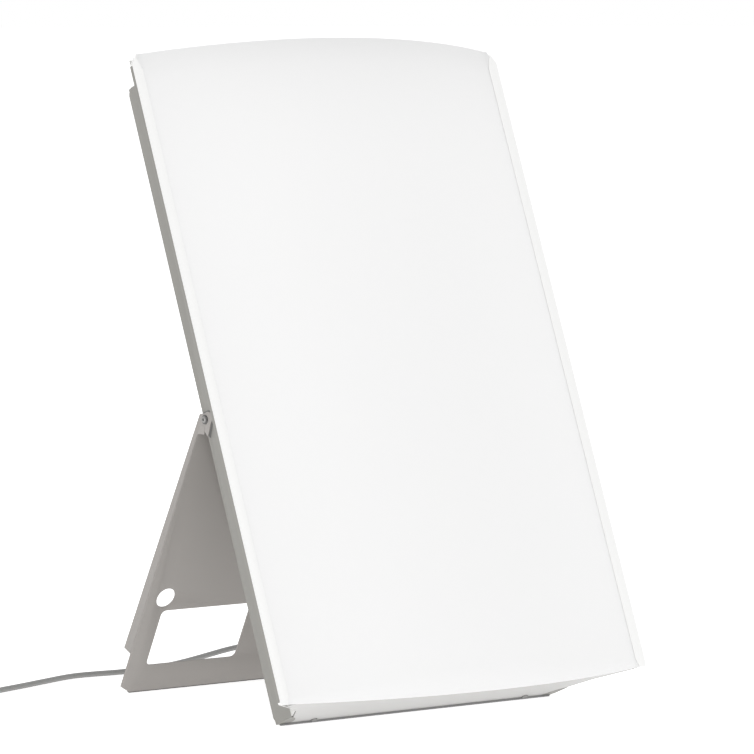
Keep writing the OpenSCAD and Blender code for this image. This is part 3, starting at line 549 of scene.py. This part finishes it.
def rounded(node, finish, body, width, segments=2, folds=None, fold_width=0.0, least=35.0):
    """The node's own shape with its edges rounded, in place of the node."""
    bm = clean_copy(node)
    if folds:
        round_edges(bm, fold_width, folds, segments=4, least=60.0)
    round_edges(bm, width, None, segments, least=max(least, 50.0) if folds else least)
    piece = new_piece(node + "_finished", bm, finish, body)
    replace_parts(piece, node)
    return piece


def lathe(bm, profile, place, steps=48, shape=None):
    """Turns a profile of (radius, height) about Z and closes its ends."""
    rings = []
    for row, (radius, height) in enumerate(profile):
        ring = []
        for k in range(steps):
            angle = 2 * math.pi * k / steps
            reach = radius if shape is None else shape(row, radius, angle)
            spot = Vector((reach * math.cos(angle), reach * math.sin(angle), height))
            ring.append(bm.verts.new(place @ spot))
        rings.append(ring)
    for low, high in zip(rings, rings[1:]):
        for k in range(steps):
            after = (k + 1) % steps
            bm.faces.new((low[k], low[after], high[after], high[k]))
    bm.faces.new(list(reversed(rings[0])))
    bm.faces.new(rings[-1])


def hexagon_reach(across, angle):
    """Distance from the centre of a hexagon to its side at an angle."""
    sector = math.pi / 3
    return across / math.cos((angle % sector) - sector / 2)


def sweep(bm, outline, low, high, rows=1):
    """Extrudes a closed outline of (x, depth) up the panel and closes its ends."""
    rings = []
    for k in range(rows + 1):
        up = low + (high - low) * k / rows
        rings.append([bm.verts.new((x, -depth, up)) for x, depth in outline])
    count = len(outline)
    for below, above in zip(rings, rings[1:]):
        for k in range(count):
            after = (k + 1) % count
            bm.faces.new((below[k], below[after], above[after], above[k]))
    bm.faces.new(list(reversed(rings[0])))
    bm.faces.new(rings[-1])
    return rings


def trim(bm, spot, normal):
    """Cuts away what lies beyond a plane and closes the cut."""
    everything = bm.verts[:] + bm.edges[:] + bm.faces[:]
    cut = bmesh.ops.bisect_plane(
        bm, geom=everything, dist=1e-7, plane_co=spot, plane_no=normal, clear_outer=True
    )
    rim = [item for item in cut["geom_cut"] if isinstance(item, bmesh.types.BMEdge)]
    bmesh.ops.contextual_create(bm, geom=rim)


# ---------------------------------------------------------------- stage


class LAMP_OT_camera(bpy.types.Operator):
    """Places the camera at the photograph's view"""

    bl_idname = "lamp.camera"
    bl_label = "Camera"

    def execute(self, context):
        stage = context.scene.lamp_stage
        az, el = stage.azimuth, stage.elevation
        back = Vector((math.sin(az) * math.cos(el), -math.cos(az) * math.cos(el), math.sin(el)))
        right = Vector((math.cos(az), math.sin(az), 0.0))
        turn = Matrix.Rotation(stage.roll, 3, back)
        right = turn @ right
        up = back.cross(right)
        target = panel_point(0, 0, 0) + Vector((0, 0, 300 * MM))
        data = bpy.data.cameras.new("camera")
        data.sensor_width = SENSOR
        data.lens = stage.focal_pixels * SENSOR / PHOTO_SIDE
        data.shift_x = -stage.centre_right / PHOTO_SIDE
        data.shift_y = stage.centre_down / PHOTO_SIDE
        data.clip_start = 0.1
        data.clip_end = 100.0
        camera = bpy.data.objects.new("camera", data)
        axes = Matrix((right, up, back)).transposed().to_4x4()
        camera.matrix_world = Matrix.Translation(target + back * stage.distance) @ axes
        context.scene.collection.objects.link(camera)
        context.scene.camera = camera
        return {"FINISHED"}


def area_light(name, place, aim, size, power):
    data = bpy.data.lights.new(name, "AREA")
    data.shape = "RECTANGLE"
    data.size, data.size_y = size
    data.energy = power
    light = bpy.data.objects.new(name, data)
    light.location = place
    light.rotation_euler = (Vector(aim) - Vector(place)).to_track_quat("-Z", "Y").to_euler()
    bpy.context.scene.collection.objects.link(light)


class LAMP_OT_stage(bpy.types.Operator):
    """Builds the pale floor, the white surroundings and the studio lights"""

    bl_idname = "lamp.stage"
    bl_label = "Stage"

    def execute(self, context):
        context.scene.view_settings.view_transform = "Standard"
        floor_half = 30.0
        bm = bmesh.new()
        bmesh.ops.create_grid(bm, x_segments=1, y_segments=1, size=floor_half)
        mesh = bpy.data.meshes.new("floor")
        bm.to_mesh(mesh)
        bm.free()
        floor = bpy.data.objects.new("floor", mesh)
        floor.location = (0, 0, -0.2 * MM)
        context.scene.collection.objects.link(floor)
        finish = Finish("white_floor")
        mesh.materials.append(
            finish.surface(
                Base_Color=(0.85, 0.85, 0.85),
                Roughness=0.9,
                Specular_IOR_Level=0.0,
                Emission_Color=finish.mix((0.65, 0.65, 0.65), (1.0, 1.0, 1.0), finish.seen()),
                Emission_Strength=0.75,
            )
        )
        self.light_world(context)
        area_light("key", (-2.9, -2.9, 1.4), (0, 0, 0.3), (2.6, 2.6), 19)
        area_light("left", (-3.4, 0.5, 0.6), (0, 0.1, 0.2), (2.0, 1.0), 8)
        area_light("right", (3.2, 0.5, 0.7), (0, 0.1, 0.2), (2.4, 1.4), 4.5)
        area_light("top", (0.0, 0.6, 3.2), (0, 0, 0.2), (2.4, 2.4), 14)
        area_light("rear", (0.6, 3.2, 1.6), (0, 0, 0.3), (2.4, 1.8), 10)
        return {"FINISHED"}

    def light_world(self, context):
        """White where it is seen, and a plain level where it only lights."""
        world = bpy.data.worlds.new("surroundings")
        context.scene.world = world
        nodes = Nodes(world)
        plain = (0.55, 0.55, 0.55)
        sky = nodes.node(
            "ShaderNodeBackground",
            None,
            {"Color": nodes.mix(plain, (1.0, 1.0, 1.0), nodes.seen()), "Strength": 1.0},
        )
        nodes.node("ShaderNodeOutputWorld", None, {"Surface": sky}, output=None)


# ---------------------------------------------------------------- cord

COIL_PITCH = CORD_D + 0.6 * MM
COIL_LOOPS = 2.5
COIL_INNER = 22 * MM
COIL_DIP = 1 * MM
COIL_START = 292
COIL_CENTRE = Vector((-318 * MM, 240 * MM, 0))
TIE_LIFT = 0.95 * MM
PLUG_W = 13.7 * MM

# The cord's way behind the leg and along the floor, in millimetres
RUN_POINTS = [
    (100, 128, 270), (101, 144, 250), (103, 155, 226), (106, 164, 198),
    (109, 173, 168), (112, 184, 137), (114, 199, 105), (115, 219, 75),
    (113, 243, 49), (107, 267, 29), (96, 286, 17), (79, 298, 11),
    (58, 302, 7.4), (34, 298, 4.9), (4, 288, 3.3), (-28, 277, 2.6),
    (-58, 271, 2.6), (-88, 267, 2.6), (-115, 270, 2.6), (-142, 270, 2.6),
    (-179, 258, 2.6), (-212, 246, 2.6), (-245, 235, 2.6), (-275, 221, 3.2),
]
TAIL_STEPS = [
    (0, 0), (6, 0), (13, 0.1), (20, 0.5), (27, 1), (34, 1.2), (41, 1.15), (48, 1), (54, 1),
]


def ease(t):
    return t * t * (3 - 2 * t)


def curve_at(points, i, t):
    """A point on the smooth curve through the points, between i and i + 1."""
    last = len(points) - 1
    a, b = points[max(i - 1, 0)], points[i]
    c, d = points[min(i + 1, last)], points[min(i + 2, last)]
    return 0.5 * (
        2 * b + (c - a) * t + (2 * a - 5 * b + 4 * c - d) * t ** 2
        + (3 * b - a - 3 * c + d) * t ** 3
    )


def curve_through(points, steps):
    made = [curve_at(points, i, k / steps) for i in range(len(points) - 1) for k in range(steps)]
    return made + [points[-1]]


def heading(degrees):
    """The way that the coil runs at an angle, going clockwise from above."""
    angle = math.radians(degrees)
    return Vector((math.sin(angle), -math.cos(angle), 0))


def coil_route(rings):
    """Points of the coil: in on the floor, up a layer, and out on top."""
    outer = COIL_INNER + COIL_LOOPS * COIL_PITCH
    low = CORD_D / 2 + TIE_LIFT
    spiral = int(rings * COIL_LOOPS)
    climb = rings // 2
    points = []
    for k in range(2 * spiral + climb + 1):
        angle = math.radians(COIL_START - 360 * k / rings)
        if k <= spiral:
            radius, height = outer - COIL_PITCH * k / rings, low
        elif k <= spiral + climb:
            share = (k - spiral) / climb
            radius = COIL_INNER - COIL_DIP * math.sin(math.pi * share)
            height = low + COIL_PITCH * ease(share)
        else:
            radius = COIL_INNER + COIL_PITCH * (k - spiral - climb) / rings
            height = low + COIL_PITCH
        points.append(COIL_CENTRE + Vector((radius * math.cos(angle), radius * math.sin(angle), height)))
    return points


def cord_route():
    """The whole cord's line, and the plug's place and direction."""
    exit_spot = panel_point(GLAND_X, -GLAND_FLANGE - BOOT_LEN, SERVICE_V)
    exit_way = LEAN_TURN.to_3x3() @ Vector((0, 1, 0))
    coil = coil_route(rings=36)
    in_way = heading(COIL_START)
    out_way = heading(COIL_START - 360 * (2 * COIL_LOOPS + 0.5))
    coil_in = coil[0] - CORD_D * in_way
    start = [exit_spot + k * CORD_D * exit_way for k in range(3)]
    middle = [Vector(point) * MM for point in RUN_POINTS]
    close = [coil_in - 16 * MM * in_way, coil_in - CORD_D * in_way, coil_in]
    run = curve_through(start + middle + close, 4)
    coil_out = coil[-1] + CORD_D * out_way
    drop = coil_out.z - PLUG_W / 2
    tail = [coil_out + along * MM * out_way - Vector((0, 0, drop * down)) for along, down in TAIL_STEPS]
    return run + coil + curve_through(tail, 3), tail[-1], out_way


def line_length(points):
    return sum((b - a).length for a, b in zip(points, points[1:]))


class LAMP_OT_cord(bpy.types.Operator):
    """Lays the mains cord, its tapered sleeve, the coil's tie and the plug"""

    bl_idname = "lamp.cord"
    bl_label = "Cord"

    def execute(self, context):
        route, plug_spot, plug_way = cord_route()
        data = bpy.data.curves.new("mains_cord", "CURVE")
        data.dimensions = "3D"
        data.bevel_depth = CORD_D / 2
        data.bevel_resolution = 5
        data.use_fill_caps = True
        spline = data.splines.new("POLY")
        spline.points.add(len(route) - 1)
        for point, spot in zip(spline.points, route):
            point.co = (*spot, 1.0)
        data.materials.append(FINISHES["cord"])
        cord = bpy.data.objects.new("mains_cord", data)
        context.scene.collection.objects.link(cord)
        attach(cord, "panel")
        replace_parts(cord, "cord_run", "cord_coil", "cord_tail")
        boot = self.make_boot()
        tie = rounded("cord_tie", "black", "panel", 0.2 * MM)
        plug = self.make_plug(plug_spot, plug_way)
        pins = self.make_pins(plug_spot, plug_way)
        line_length(route)
        return {"FINISHED"}

    def make_boot(self):
        """Tapered sleeve with slotted relief rings."""
        root, tip, rings = 5.6 * MM, 3.6 * MM, 7
        profile = [(root, 0.0), (root, 3 * MM)]
        span = BOOT_LEN - 8 * MM
        for k in range(rings):
            low = 3 * MM + span * k / rings
            step = span / rings
            wide = root + (tip - root) * (low / BOOT_LEN)
            narrow = wide - 1.1 * MM
            profile += [
                (wide, low + 0.1 * step), (wide, low + 0.5 * step),
                (narrow, low + 0.6 * step), (narrow, low + 0.95 * step),
            ]
        profile += [
            (tip + 0.3 * MM, BOOT_LEN - 4 * MM), (tip, BOOT_LEN - 0.6 * MM),
            (tip - 0.5 * MM, BOOT_LEN),
        ]
        place = PANEL @ Matrix.Translation((GLAND_X, GLAND_FLANGE, SERVICE_V))
        place = place @ Matrix.Rotation(-math.pi / 2, 4, "X")
        bm = bmesh.new()
        lathe(bm, profile, place, steps=40)
        boot = new_piece("cord_sleeve", bm, "boot", "panel")
        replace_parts(boot, "cord_boot")
        return boot

    def plug_place(self, spot, way):
        side = Vector((0, 0, 1)).cross(way)
        axes = Matrix((way, side, Vector((0, 0, 1)))).transposed().to_4x4()
        return Matrix.Translation(spot) @ axes

    def make_plug(self, spot, way):
        """Flat plug body with a ribbed neck and rounded shoulders."""
        bm = clean_copy("plug_body")
        round_edges(bm, 2.2 * MM, None, segments=4, least=60.0)
        ribs = 4
        for k in range(ribs):
            along = (4 + 2.6 * k) * MM
            reach = CORD_D / 2 + (1.4 + 0.06 * along / MM) * MM
            profile = [(reach, along), (reach + 0.5 * MM, along + 0.4 * MM),
                       (reach + 0.5 * MM, along + 1.0 * MM), (reach, along + 1.4 * MM)]
            turn = Matrix.Rotation(math.pi / 2, 4, "Y")
            lathe(bm, profile, self.plug_place(spot, way) @ turn, steps=32)
        plug = new_piece("mains_plug", bm, "cord", "panel")
        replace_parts(plug, "plug_body")
        return plug

    def make_pins(self, spot, way):
        """Two round pins, sleeved near the plug and domed at the tip."""
        neck, body, gap, radius, length = (v * MM for v in (14, 22, 18.6, 2, 19))
        bm = bmesh.new()
        profile = [(radius, 0), (radius, 9.5 * MM), (radius * 0.93, 9.7 * MM),
                   (radius * 0.93, length - 1.6 * MM), (radius * 0.75, length - 0.5 * MM),
                   (radius * 0.4, length)]
        turn = Matrix.Rotation(math.pi / 2, 4, "Y")
        for side in (-1, 1):
            shift = Matrix.Translation((neck + body, side * gap / 2, 0))
            lathe(bm, profile, self.plug_place(spot, way) @ shift @ turn, steps=32)
        pins = new_piece("plug_contacts", bm, "spring", "panel")
        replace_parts(pins, "plug_pins")
        return pins


# ---------------------------------------------------------------- sheet metal


def local_fold(place, test):
    """An edge test that works in the panel's or the leg's own directions."""
    back = place.inverted()

    def chosen(edge):
        a, b = (back @ vert.co for vert in edge.verts)
        return test(a, b)

    return chosen


class LAMP_OT_tray(bpy.types.Operator):
    """Finishes the folded back tray, with round folds and eased edges"""

    bl_idname = "lamp.tray"
    bl_label = "Tray"

    def execute(self, context):
        sizes = context.scene.lamp_sizes
        near = 0.05 * MM

        def outer_fold(a, b):
            along = abs(a.z - b.z) > 100 * MM
            at_side = abs(abs(a.x) - TRAY_W / 2) < near
            return along and at_side and min(abs(a.y), abs(a.y + TRAY_D)) < near

        rounded("tray", "tray", "panel", sizes.edge_round, folds=local_fold(PANEL, outer_fold),
                fold_width=sizes.fold_round * 0.7)
        return {"FINISHED"}


class LAMP_OT_leg(bpy.types.Operator):
    """Finishes the folding leg, with round folds and eased openings"""

    bl_idname = "lamp.leg"
    bl_label = "Leg"

    def execute(self, context):
        sizes = context.scene.lamp_sizes
        half = max(abs(corner.x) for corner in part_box("leg"))
        near = 0.05 * MM

        def outer_fold(a, b):
            return abs(a.z - b.z) > 100 * MM and abs(abs(a.x) - half) < near and a.y < PIVOT_IN + 2 * MM

        rounded("leg", "leg", "leg", sizes.edge_round, folds=local_fold(LEG, outer_fold),
                fold_width=sizes.fold_round * 0.6)
        return {"FINISHED"}


class LAMP_OT_housing(bpy.types.Operator):
    """Finishes the white reflector and the edge rails"""

    bl_idname = "lamp.housing"
    bl_label = "Reflector and rails"

    def execute(self, context):
        rounded("reflector", "white", "panel", 0.15 * MM, segments=1, least=60.0)
        forward = LEAN_TURN.to_3x3() @ Vector((0, -1, 0))

        def outer_side(centre, normal):
            facing_out = normal.x * centre.x > 0 and abs(normal.x) > 0.5
            return facing_out and abs(centre.x) > PANEL_W / 2 - 0.3 * MM or normal.dot(forward) < -0.5

        for side in ("left", "right"):
            node = "edge_rail_" + side
            bm = clean_copy(node)
            trim(bm, PANEL @ FOOT_SPOT, PANEL.to_3x3() @ FOOT_NORMAL)
            round_edges(bm, 0.18 * MM)
            rail = new_piece(node + "_finished", bm, "rail", "panel")
            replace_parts(rail, node)
            paint_faces(rail, "tray", outer_side)
        return {"FINISHED"}


class LAMP_OT_diffuser(bpy.types.Operator):
    """Bends the opal diffuser: one smooth bow with flat lips in the rails"""

    bl_idname = "lamp.diffuser"
    bl_label = "Diffuser"

    def execute(self, context):
        bow_half = PANEL_W / 2 - RAIL_W - 0.6 * MM
        bow_foot = HOUSING_D - RAIL_T - 0.2 * MM
        sag = HOUSING_D + BOW_RISE - bow_foot
        radius = (bow_half ** 2 + sag ** 2) / (2 * sag)
        centre = bow_foot + sag - radius
        lip = PANEL_W / 2 - RAIL_T - 0.3 * MM
        steps = 120
        reach = math.asin(bow_half / radius)
        inner = radius - DIFFUSER_T
        inner_reach = math.acos((bow_foot - DIFFUSER_T - centre) / inner)
        outline = [(lip, bow_foot - DIFFUSER_T), (lip, bow_foot)]
        for k in range(steps + 1):
            angle = reach - 2 * reach * k / steps
            outline.append((radius * math.sin(angle), centre + radius * math.cos(angle)))
        outline += [(-lip, bow_foot), (-lip, bow_foot - DIFFUSER_T)]
        for k in range(steps + 1):
            angle = 2 * inner_reach * k / steps - inner_reach
            outline.append((inner * math.sin(angle), centre + inner * math.cos(angle)))
        bm = bmesh.new()
        sweep(bm, outline, -12 * MM, PANEL_H + 2 * MM, rows=24)
        trim(bm, FOOT_SPOT, FOOT_NORMAL)
        self.cut_corners(bm, lip)
        round_edges(bm, 0.35 * MM, self.is_rim, segments=2, least=60.0)
        piece = new_piece("diffuser_sheet", bm, "opal", "panel", PANEL, sharp=50.0)
        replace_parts(piece, "diffuser")
        return {"FINISHED"}

    def is_rim(self, edge):
        """Edges round the sheet's two cut ends."""
        return all(vert.co.z < 20 * MM or vert.co.z > PANEL_H - 20 * MM for vert in edge.verts)

    def cut_corners(self, bm, lip):
        """Trims the lips' corners to a slant, as the rails' ends are."""
        across, up = 7 * MM, 12 * MM
        for side in (-1, 1):
            for end in (0, 1):
                corner = Vector((side * (lip - across + 1 * MM), 0, end * PANEL_H))
                trim(bm, corner, Vector((side * up, 0, (2 * end - 1) * across)).normalized())


class LAMP_OT_ends(bpy.types.Operator):
    """Makes the two end plates. Known fault: their holes are worked out but not cut"""

    bl_idname = "lamp.ends"
    bl_label = "End plates"

    def execute(self, context):
        sizes = context.scene.lamp_sizes
        for name in ("end_plate_bottom", "end_plate_top"):
            bm = self.perforated(name, sizes.hole_pitch, sizes.hole_radius)
            piece = new_piece(name + "_perforated", bm, "end", "panel", PANEL, sharp=40.0)
            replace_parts(piece, name)
        return {"FINISHED"}

    def outline(self, name):
        """The plate's outer outline, taken from its solid, and its lower and upper level."""
        bm = clean_copy(name)
        bm.transform(PANEL.inverted())
        low = min(vert.co.z for vert in bm.verts)
        high = max(vert.co.z for vert in bm.verts)
        near = 0.02 * MM
        flat = {face for face in bm.faces if all(abs(v.co.z - low) < near for v in face.verts)}
        links = {}
        for edge in bm.edges:
            if sum(face in flat for face in edge.link_faces) == 1:
                a, b = edge.verts
                links.setdefault(a, []).append(b)
                links.setdefault(b, []).append(a)
        best = []
        while links:
            start = next(iter(links))
            loop, spot = [], start
            while spot in links:
                loop.append(spot)
                onward = [other for other in links.pop(spot) if other in links]
                spot = onward[0] if onward else None
            if len(loop) > 2:
                width = max(v.co.x for v in loop) - min(v.co.x for v in loop)
                if not best or width > best[0]:
                    best = [width, [Vector((v.co.x, -v.co.y)) for v in loop]]
        bm.free()
        return best[1], low, high

    def perforated(self, name, pitch, radius):
        """The plate, meant to have staggered holes.

        The triangulation's output type joins all triangles into one undivided face, so no
        triangle lies inside a hole and the plate comes out plain.
        """
        undivided = 3
        merge = 1e-7
        outline, low, high = self.outline(name)
        centres = self.hole_centres(outline, pitch, radius)
        corners = 10
        points = list(outline)
        count = len(outline)
        edges = [(k, (k + 1) % count) for k in range(count)]
        for centre in centres:
            first = len(points)
            for k in range(corners):
                angle = 2 * math.pi * (k + 0.5) / corners
                points.append(centre + radius * Vector((math.cos(angle), math.sin(angle))))
            edges += [(first + k, first + (k + 1) % corners) for k in range(corners)]
        spots, _, faces, _, _, _ = delaunay_2d_cdt(points, edges, [], undivided, merge)
        bm = bmesh.new()
        verts = [bm.verts.new((spot.x, -spot.y, low)) for spot in spots]
        inside = [tri for tri in faces if self.is_sheet(spots, tri, radius)]
        for tri in inside:
            bm.faces.new([verts[k] for k in tri])
        bmesh.ops.delete(bm, geom=[v for v in bm.verts if not v.link_faces], context="VERTS")
        made = bmesh.ops.extrude_face_region(bm, geom=bm.faces[:])
        lifted = [item for item in made["geom"] if isinstance(item, bmesh.types.BMVert)]
        bmesh.ops.translate(bm, verts=lifted, vec=(0, 0, high - low))
        return bm

    def is_sheet(self, spots, tri, radius):
        """True where a face's middle isn't inside a hole."""
        middle = sum((spots[k] for k in tri), Vector((0, 0))) / len(tri)
        row = round(middle.y / self.row_step)
        near = [spot for k in (row - 1, row, row + 1) for spot in self.rows.get(k, [])]
        return all((middle - centre).length > radius * 0.93 for centre in near)

    def hole_centres(self, outline, pitch, radius):
        """Staggered centres that keep a rim, and a clear place round each screw."""
        rim = radius + 2.2 * MM
        self.row_step = pitch / 2
        self.rows = {}
        centres = []
        wide = max(point.x for point in outline)
        deep = max(point.y for point in outline)
        screws = [Vector((side * END_SCREW_X, END_SCREW_DEPTH)) for side in (-1, 1)]
        for row in range(int(deep / self.row_step) + 1):
            offset = pitch / 2 * (row % 2)
            columns = int(wide / pitch) + 1
            for column in range(-columns, columns + 1):
                spot = Vector((column * pitch + offset, row * self.row_step))
                free = all((spot - screw).length > 6 * MM for screw in screws)
                if free and self.room(spot, outline) > rim:
                    centres.append(spot)
                    self.rows.setdefault(row, []).append(spot)
        return centres

    def room(self, spot, outline):
        """Distance in to the nearest side, or below 0 outside."""
        inside = False
        nearest = 1.0
        for a, b in zip(outline, outline[1:] + outline[:1]):
            along = b - a
            share = max(0.0, min(1.0, (spot - a).dot(along) / max(along.length_squared, 1e-12)))
            nearest = min(nearest, (a + share * along - spot).length)
            if (a.y > spot.y) != (b.y > spot.y):
                if spot.x < a.x + (spot.y - a.y) / (b.y - a.y) * (b.x - a.x):
                    inside = not inside
        return nearest if inside else -nearest


# ---------------------------------------------------------------- pivots and screws


def screw_head(bm, place, radius, height, socket, shank, length):
    """Domed head with a hexagon socket and a plain shank below."""
    rim = 0.25 * MM
    profile = [
        (shank, -length), (shank, 0.0), (radius - 0.1 * MM, 0.0), (radius, rim),
        (radius, 0.45 * height), (radius * 0.94, 0.7 * height), (radius * 0.8, 0.92 * height),
        (radius * 0.62, height), (socket * 1.12, height), (socket, 0.9 * height),
        (socket, 0.4 * height), (socket * 0.3, 0.3 * height),
    ]

    def shape(row, reach, angle):
        if row in (9, 10):
            return hexagon_reach(socket * 0.92, angle)
        return reach

    lathe(bm, profile, place, steps=48, shape=shape)


class LAMP_OT_pivots(bpy.types.Operator):
    """Turns the two pivot screws and their dark collars, which paint the contact shadow under the heads,
    and finishes washers and bushes
    """

    bl_idname = "lamp.pivots"
    bl_label = "Pivots"

    def execute(self, context):
        for side, sign in (("left", -1), ("right", 1)):
            node = "pivot_screw_" + side
            low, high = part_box(node)
            head_face = TRAY_W / 2 + WASHER_T + SHEET_T + 3 * CLEARANCE
            place = PANEL @ Matrix.Translation((sign * head_face, -PIVOT_IN, PIVOT_V))
            place = place @ Matrix.Rotation(sign * math.pi / 2, 4, "Y")
            length = high.x - low.x - 2.2 * MM
            bm = bmesh.new()
            screw_head(bm, place, 3.1 * MM, 2.2 * MM, 1.2 * MM, 2.0 * MM, length)
            screw = new_piece(node + "_turned", bm, "steel", "panel")
            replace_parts(screw, node)
            ring = bmesh.new()
            # A dark collar under the head, painted as the contact shadow round the screw.
            collar = [(3.2 * MM, 0.0), (4.1 * MM, 0.0), (4.2 * MM, 0.2 * MM), (4.1 * MM, 0.7 * MM),
                      (3.6 * MM, 0.9 * MM), (3.2 * MM, 0.8 * MM)]
            lathe(ring, collar, place, steps=48)
            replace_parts(new_piece(node + "_ring", ring, "dark_steel", "panel"), node)
            # The washer's dark rim round the ear is partly painted shade.
            rounded("pivot_washer_" + side, "washer", "leg", 0.12 * MM)
        rounded("pivot_bushes", "steel", "panel", 0.2 * MM)
        return {"FINISHED"}


def panel_screws(node, spots, length):
    """A group of like screws at places given in the panel's frame."""
    bm = bmesh.new()
    for place in spots:
        screw_head(bm, PANEL @ place, *SMALL_SCREW, SMALL_SHANK, length)
    piece = new_piece(node + "_turned", bm, "steel", "panel")
    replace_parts(piece, node)


class LAMP_OT_screws(bpy.types.Operator):
    """Sets the screws of end plates, reflector and ballast"""

    bl_idname = "lamp.screws"
    bl_label = "Screws"

    def execute(self, context):
        flip = Matrix.Rotation(math.pi, 4, "X")
        forward = Matrix.Rotation(math.pi / 2, 4, "X")
        ends = []
        for sign in (-1, 1):
            x = sign * END_SCREW_X
            ends.append(Matrix.Translation((x, -END_SCREW_DEPTH, TRAY_V0)) @ flip)
            ends.append(Matrix.Translation((x, -END_SCREW_DEPTH, TRAY_V1)))
        panel_screws("end_plate_screws", ends, 5.2 * MM)
        inset = TRAY_W / 2 - SHEET_T - 6 * MM
        beds = [
            Matrix.Translation((sign * inset, -TRAY_D - 0.8 * MM, up * MM)) @ forward
            for sign in (-1, 1) for up in (60, 300, 540)
        ]
        panel_screws("reflector_screws", beds, 5 * MM)
        holds = [
            Matrix.Translation((-25 * MM, -SHEET_T - 1 * MM, up * MM)) @ forward
            for up in (122, 498)
        ]
        panel_screws("ballast_screws", holds, 2.2 * MM)
        return {"FINISHED"}


class LAMP_OT_feet(bpy.types.Operator):
    """Finishes the rubber strips that the lamp stands on"""

    bl_idname = "lamp.feet"
    bl_label = "Feet"

    def execute(self, context):
        # A real rubber edge whose dark line also paints the shade along the tray's lower edge.
        rounded("tray_foot_strip", "boot", "panel", 0.2 * MM)
        rounded("leg_foot_strip", "rubber", "leg", 0.25 * MM)
        return {"FINISHED"}


# ---------------------------------------------------------------- inside


class LAMP_OT_tubes(bpy.types.Operator):
    """Finishes the two lamps with their bases, pins, holders and clips"""

    bl_idname = "lamp.tubes"
    bl_label = "Lamps"

    def execute(self, context):
        for side in ("left", "right"):
            rounded("lamp_glass_" + side, "glass", "panel", 2.4 * MM, segments=4, least=70.0)
            rounded("lamp_base_" + side, "holder", "panel", 0.8 * MM, segments=3, least=60.0)
            rounded("lamp_holder_" + side, "holder", "panel", 0.5 * MM)
            rounded("lamp_clip_" + side, "spring", "panel", 0.1 * MM)
        rounded("lamp_pins", "brass", "panel", 0.3 * MM, least=60.0)
        return {"FINISHED"}


class LAMP_OT_electrics(bpy.types.Operator):
    """Finishes ballast, terminals, leads and the cord's gland"""

    bl_idname = "lamp.electrics"
    bl_label = "Electrics"

    def execute(self, context):
        rounded("ballast", "case", "panel", 0.4 * MM)
        rounded("ballast_terminals", "holder", "panel", 0.2 * MM)
        rounded("terminal_block", "holder", "panel", 0.5 * MM, least=60.0)
        rounded("lead_grommets", "black", "panel", 0.3 * MM, least=60.0)
        rounded("cord_gland", "black", "panel", 0.6 * MM, segments=3, least=60.0)
        rounded("gland_nut", "black", "panel", 0.4 * MM, least=50.0)
        for node, finish in (("mains_leads", "brown"), ("lamp_leads", "pale")):
            bm = clean_copy(node)
            piece = new_piece(node + "_finished", bm, finish, "panel", sharp=60.0)
            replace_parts(piece, node)
        return {"FINISHED"}


class LAMP_OT_switch(bpy.types.Operator):
    """Finishes the rocker switch and its frame"""

    bl_idname = "lamp.switch"
    bl_label = "Switch"

    def execute(self, context):
        rounded("switch_frame", "black", "panel", 0.3 * MM)
        rounded("switch_rocker", "black", "switch", 0.35 * MM, segments=3)
        return {"FINISHED"}


# ---------------------------------------------------------------- add-on

OPERATORS = (
    LAMP_OT_camera,
    LAMP_OT_cord,
    LAMP_OT_tray,
    LAMP_OT_leg,
    LAMP_OT_housing,
    LAMP_OT_diffuser,
    LAMP_OT_ends,
    LAMP_OT_pivots,
    LAMP_OT_screws,
    LAMP_OT_feet,
    LAMP_OT_tubes,
    LAMP_OT_electrics,
    LAMP_OT_switch,
    LAMP_OT_stage,
)


class LAMP_PT_panel(bpy.types.Panel):
    """Lists the lamp's settings and its pieces"""

    bl_label = "Light therapy lamp"
    bl_idname = "LAMP_PT_panel"
    bl_space_type = "VIEW_3D"
    bl_region_type = "UI"
    bl_category = "Lamp"

    def draw(self, context):
        layout = self.layout
        for group in (context.scene.lamp_sizes, context.scene.lamp_colours, context.scene.lamp_stage):
            box = layout.box()
            for name in group.__annotations__:
                box.prop(group, name)
        for operator in OPERATORS:
            layout.operator(operator.bl_idname)


GROUPS = {"lamp_sizes": LampSizes, "lamp_colours": LampColours, "lamp_stage": LampStage}


def register():
    for group in GROUPS.values():
        bpy.utils.register_class(group)
    for name, group in GROUPS.items():
        setattr(bpy.types.Scene, name, bpy.props.PointerProperty(type=group))
    for item in (*OPERATORS, LAMP_PT_panel):
        bpy.utils.register_class(item)


def unregister():
    for item in reversed((*OPERATORS, LAMP_PT_panel)):
        bpy.utils.unregister_class(item)
    for name in GROUPS:
        delattr(bpy.types.Scene, name)
    for group in reversed(list(GROUPS.values())):
        bpy.utils.unregister_class(group)


def main():
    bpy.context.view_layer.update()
    register()
    scene = bpy.context.scene
    make_finishes(scene.lamp_colours, scene.lamp_sizes)
    for operator in OPERATORS:
        group, name = operator.bl_idname.split(".")
        getattr(getattr(bpy.ops, group), name)()


if __name__ == "__main__":
    main()
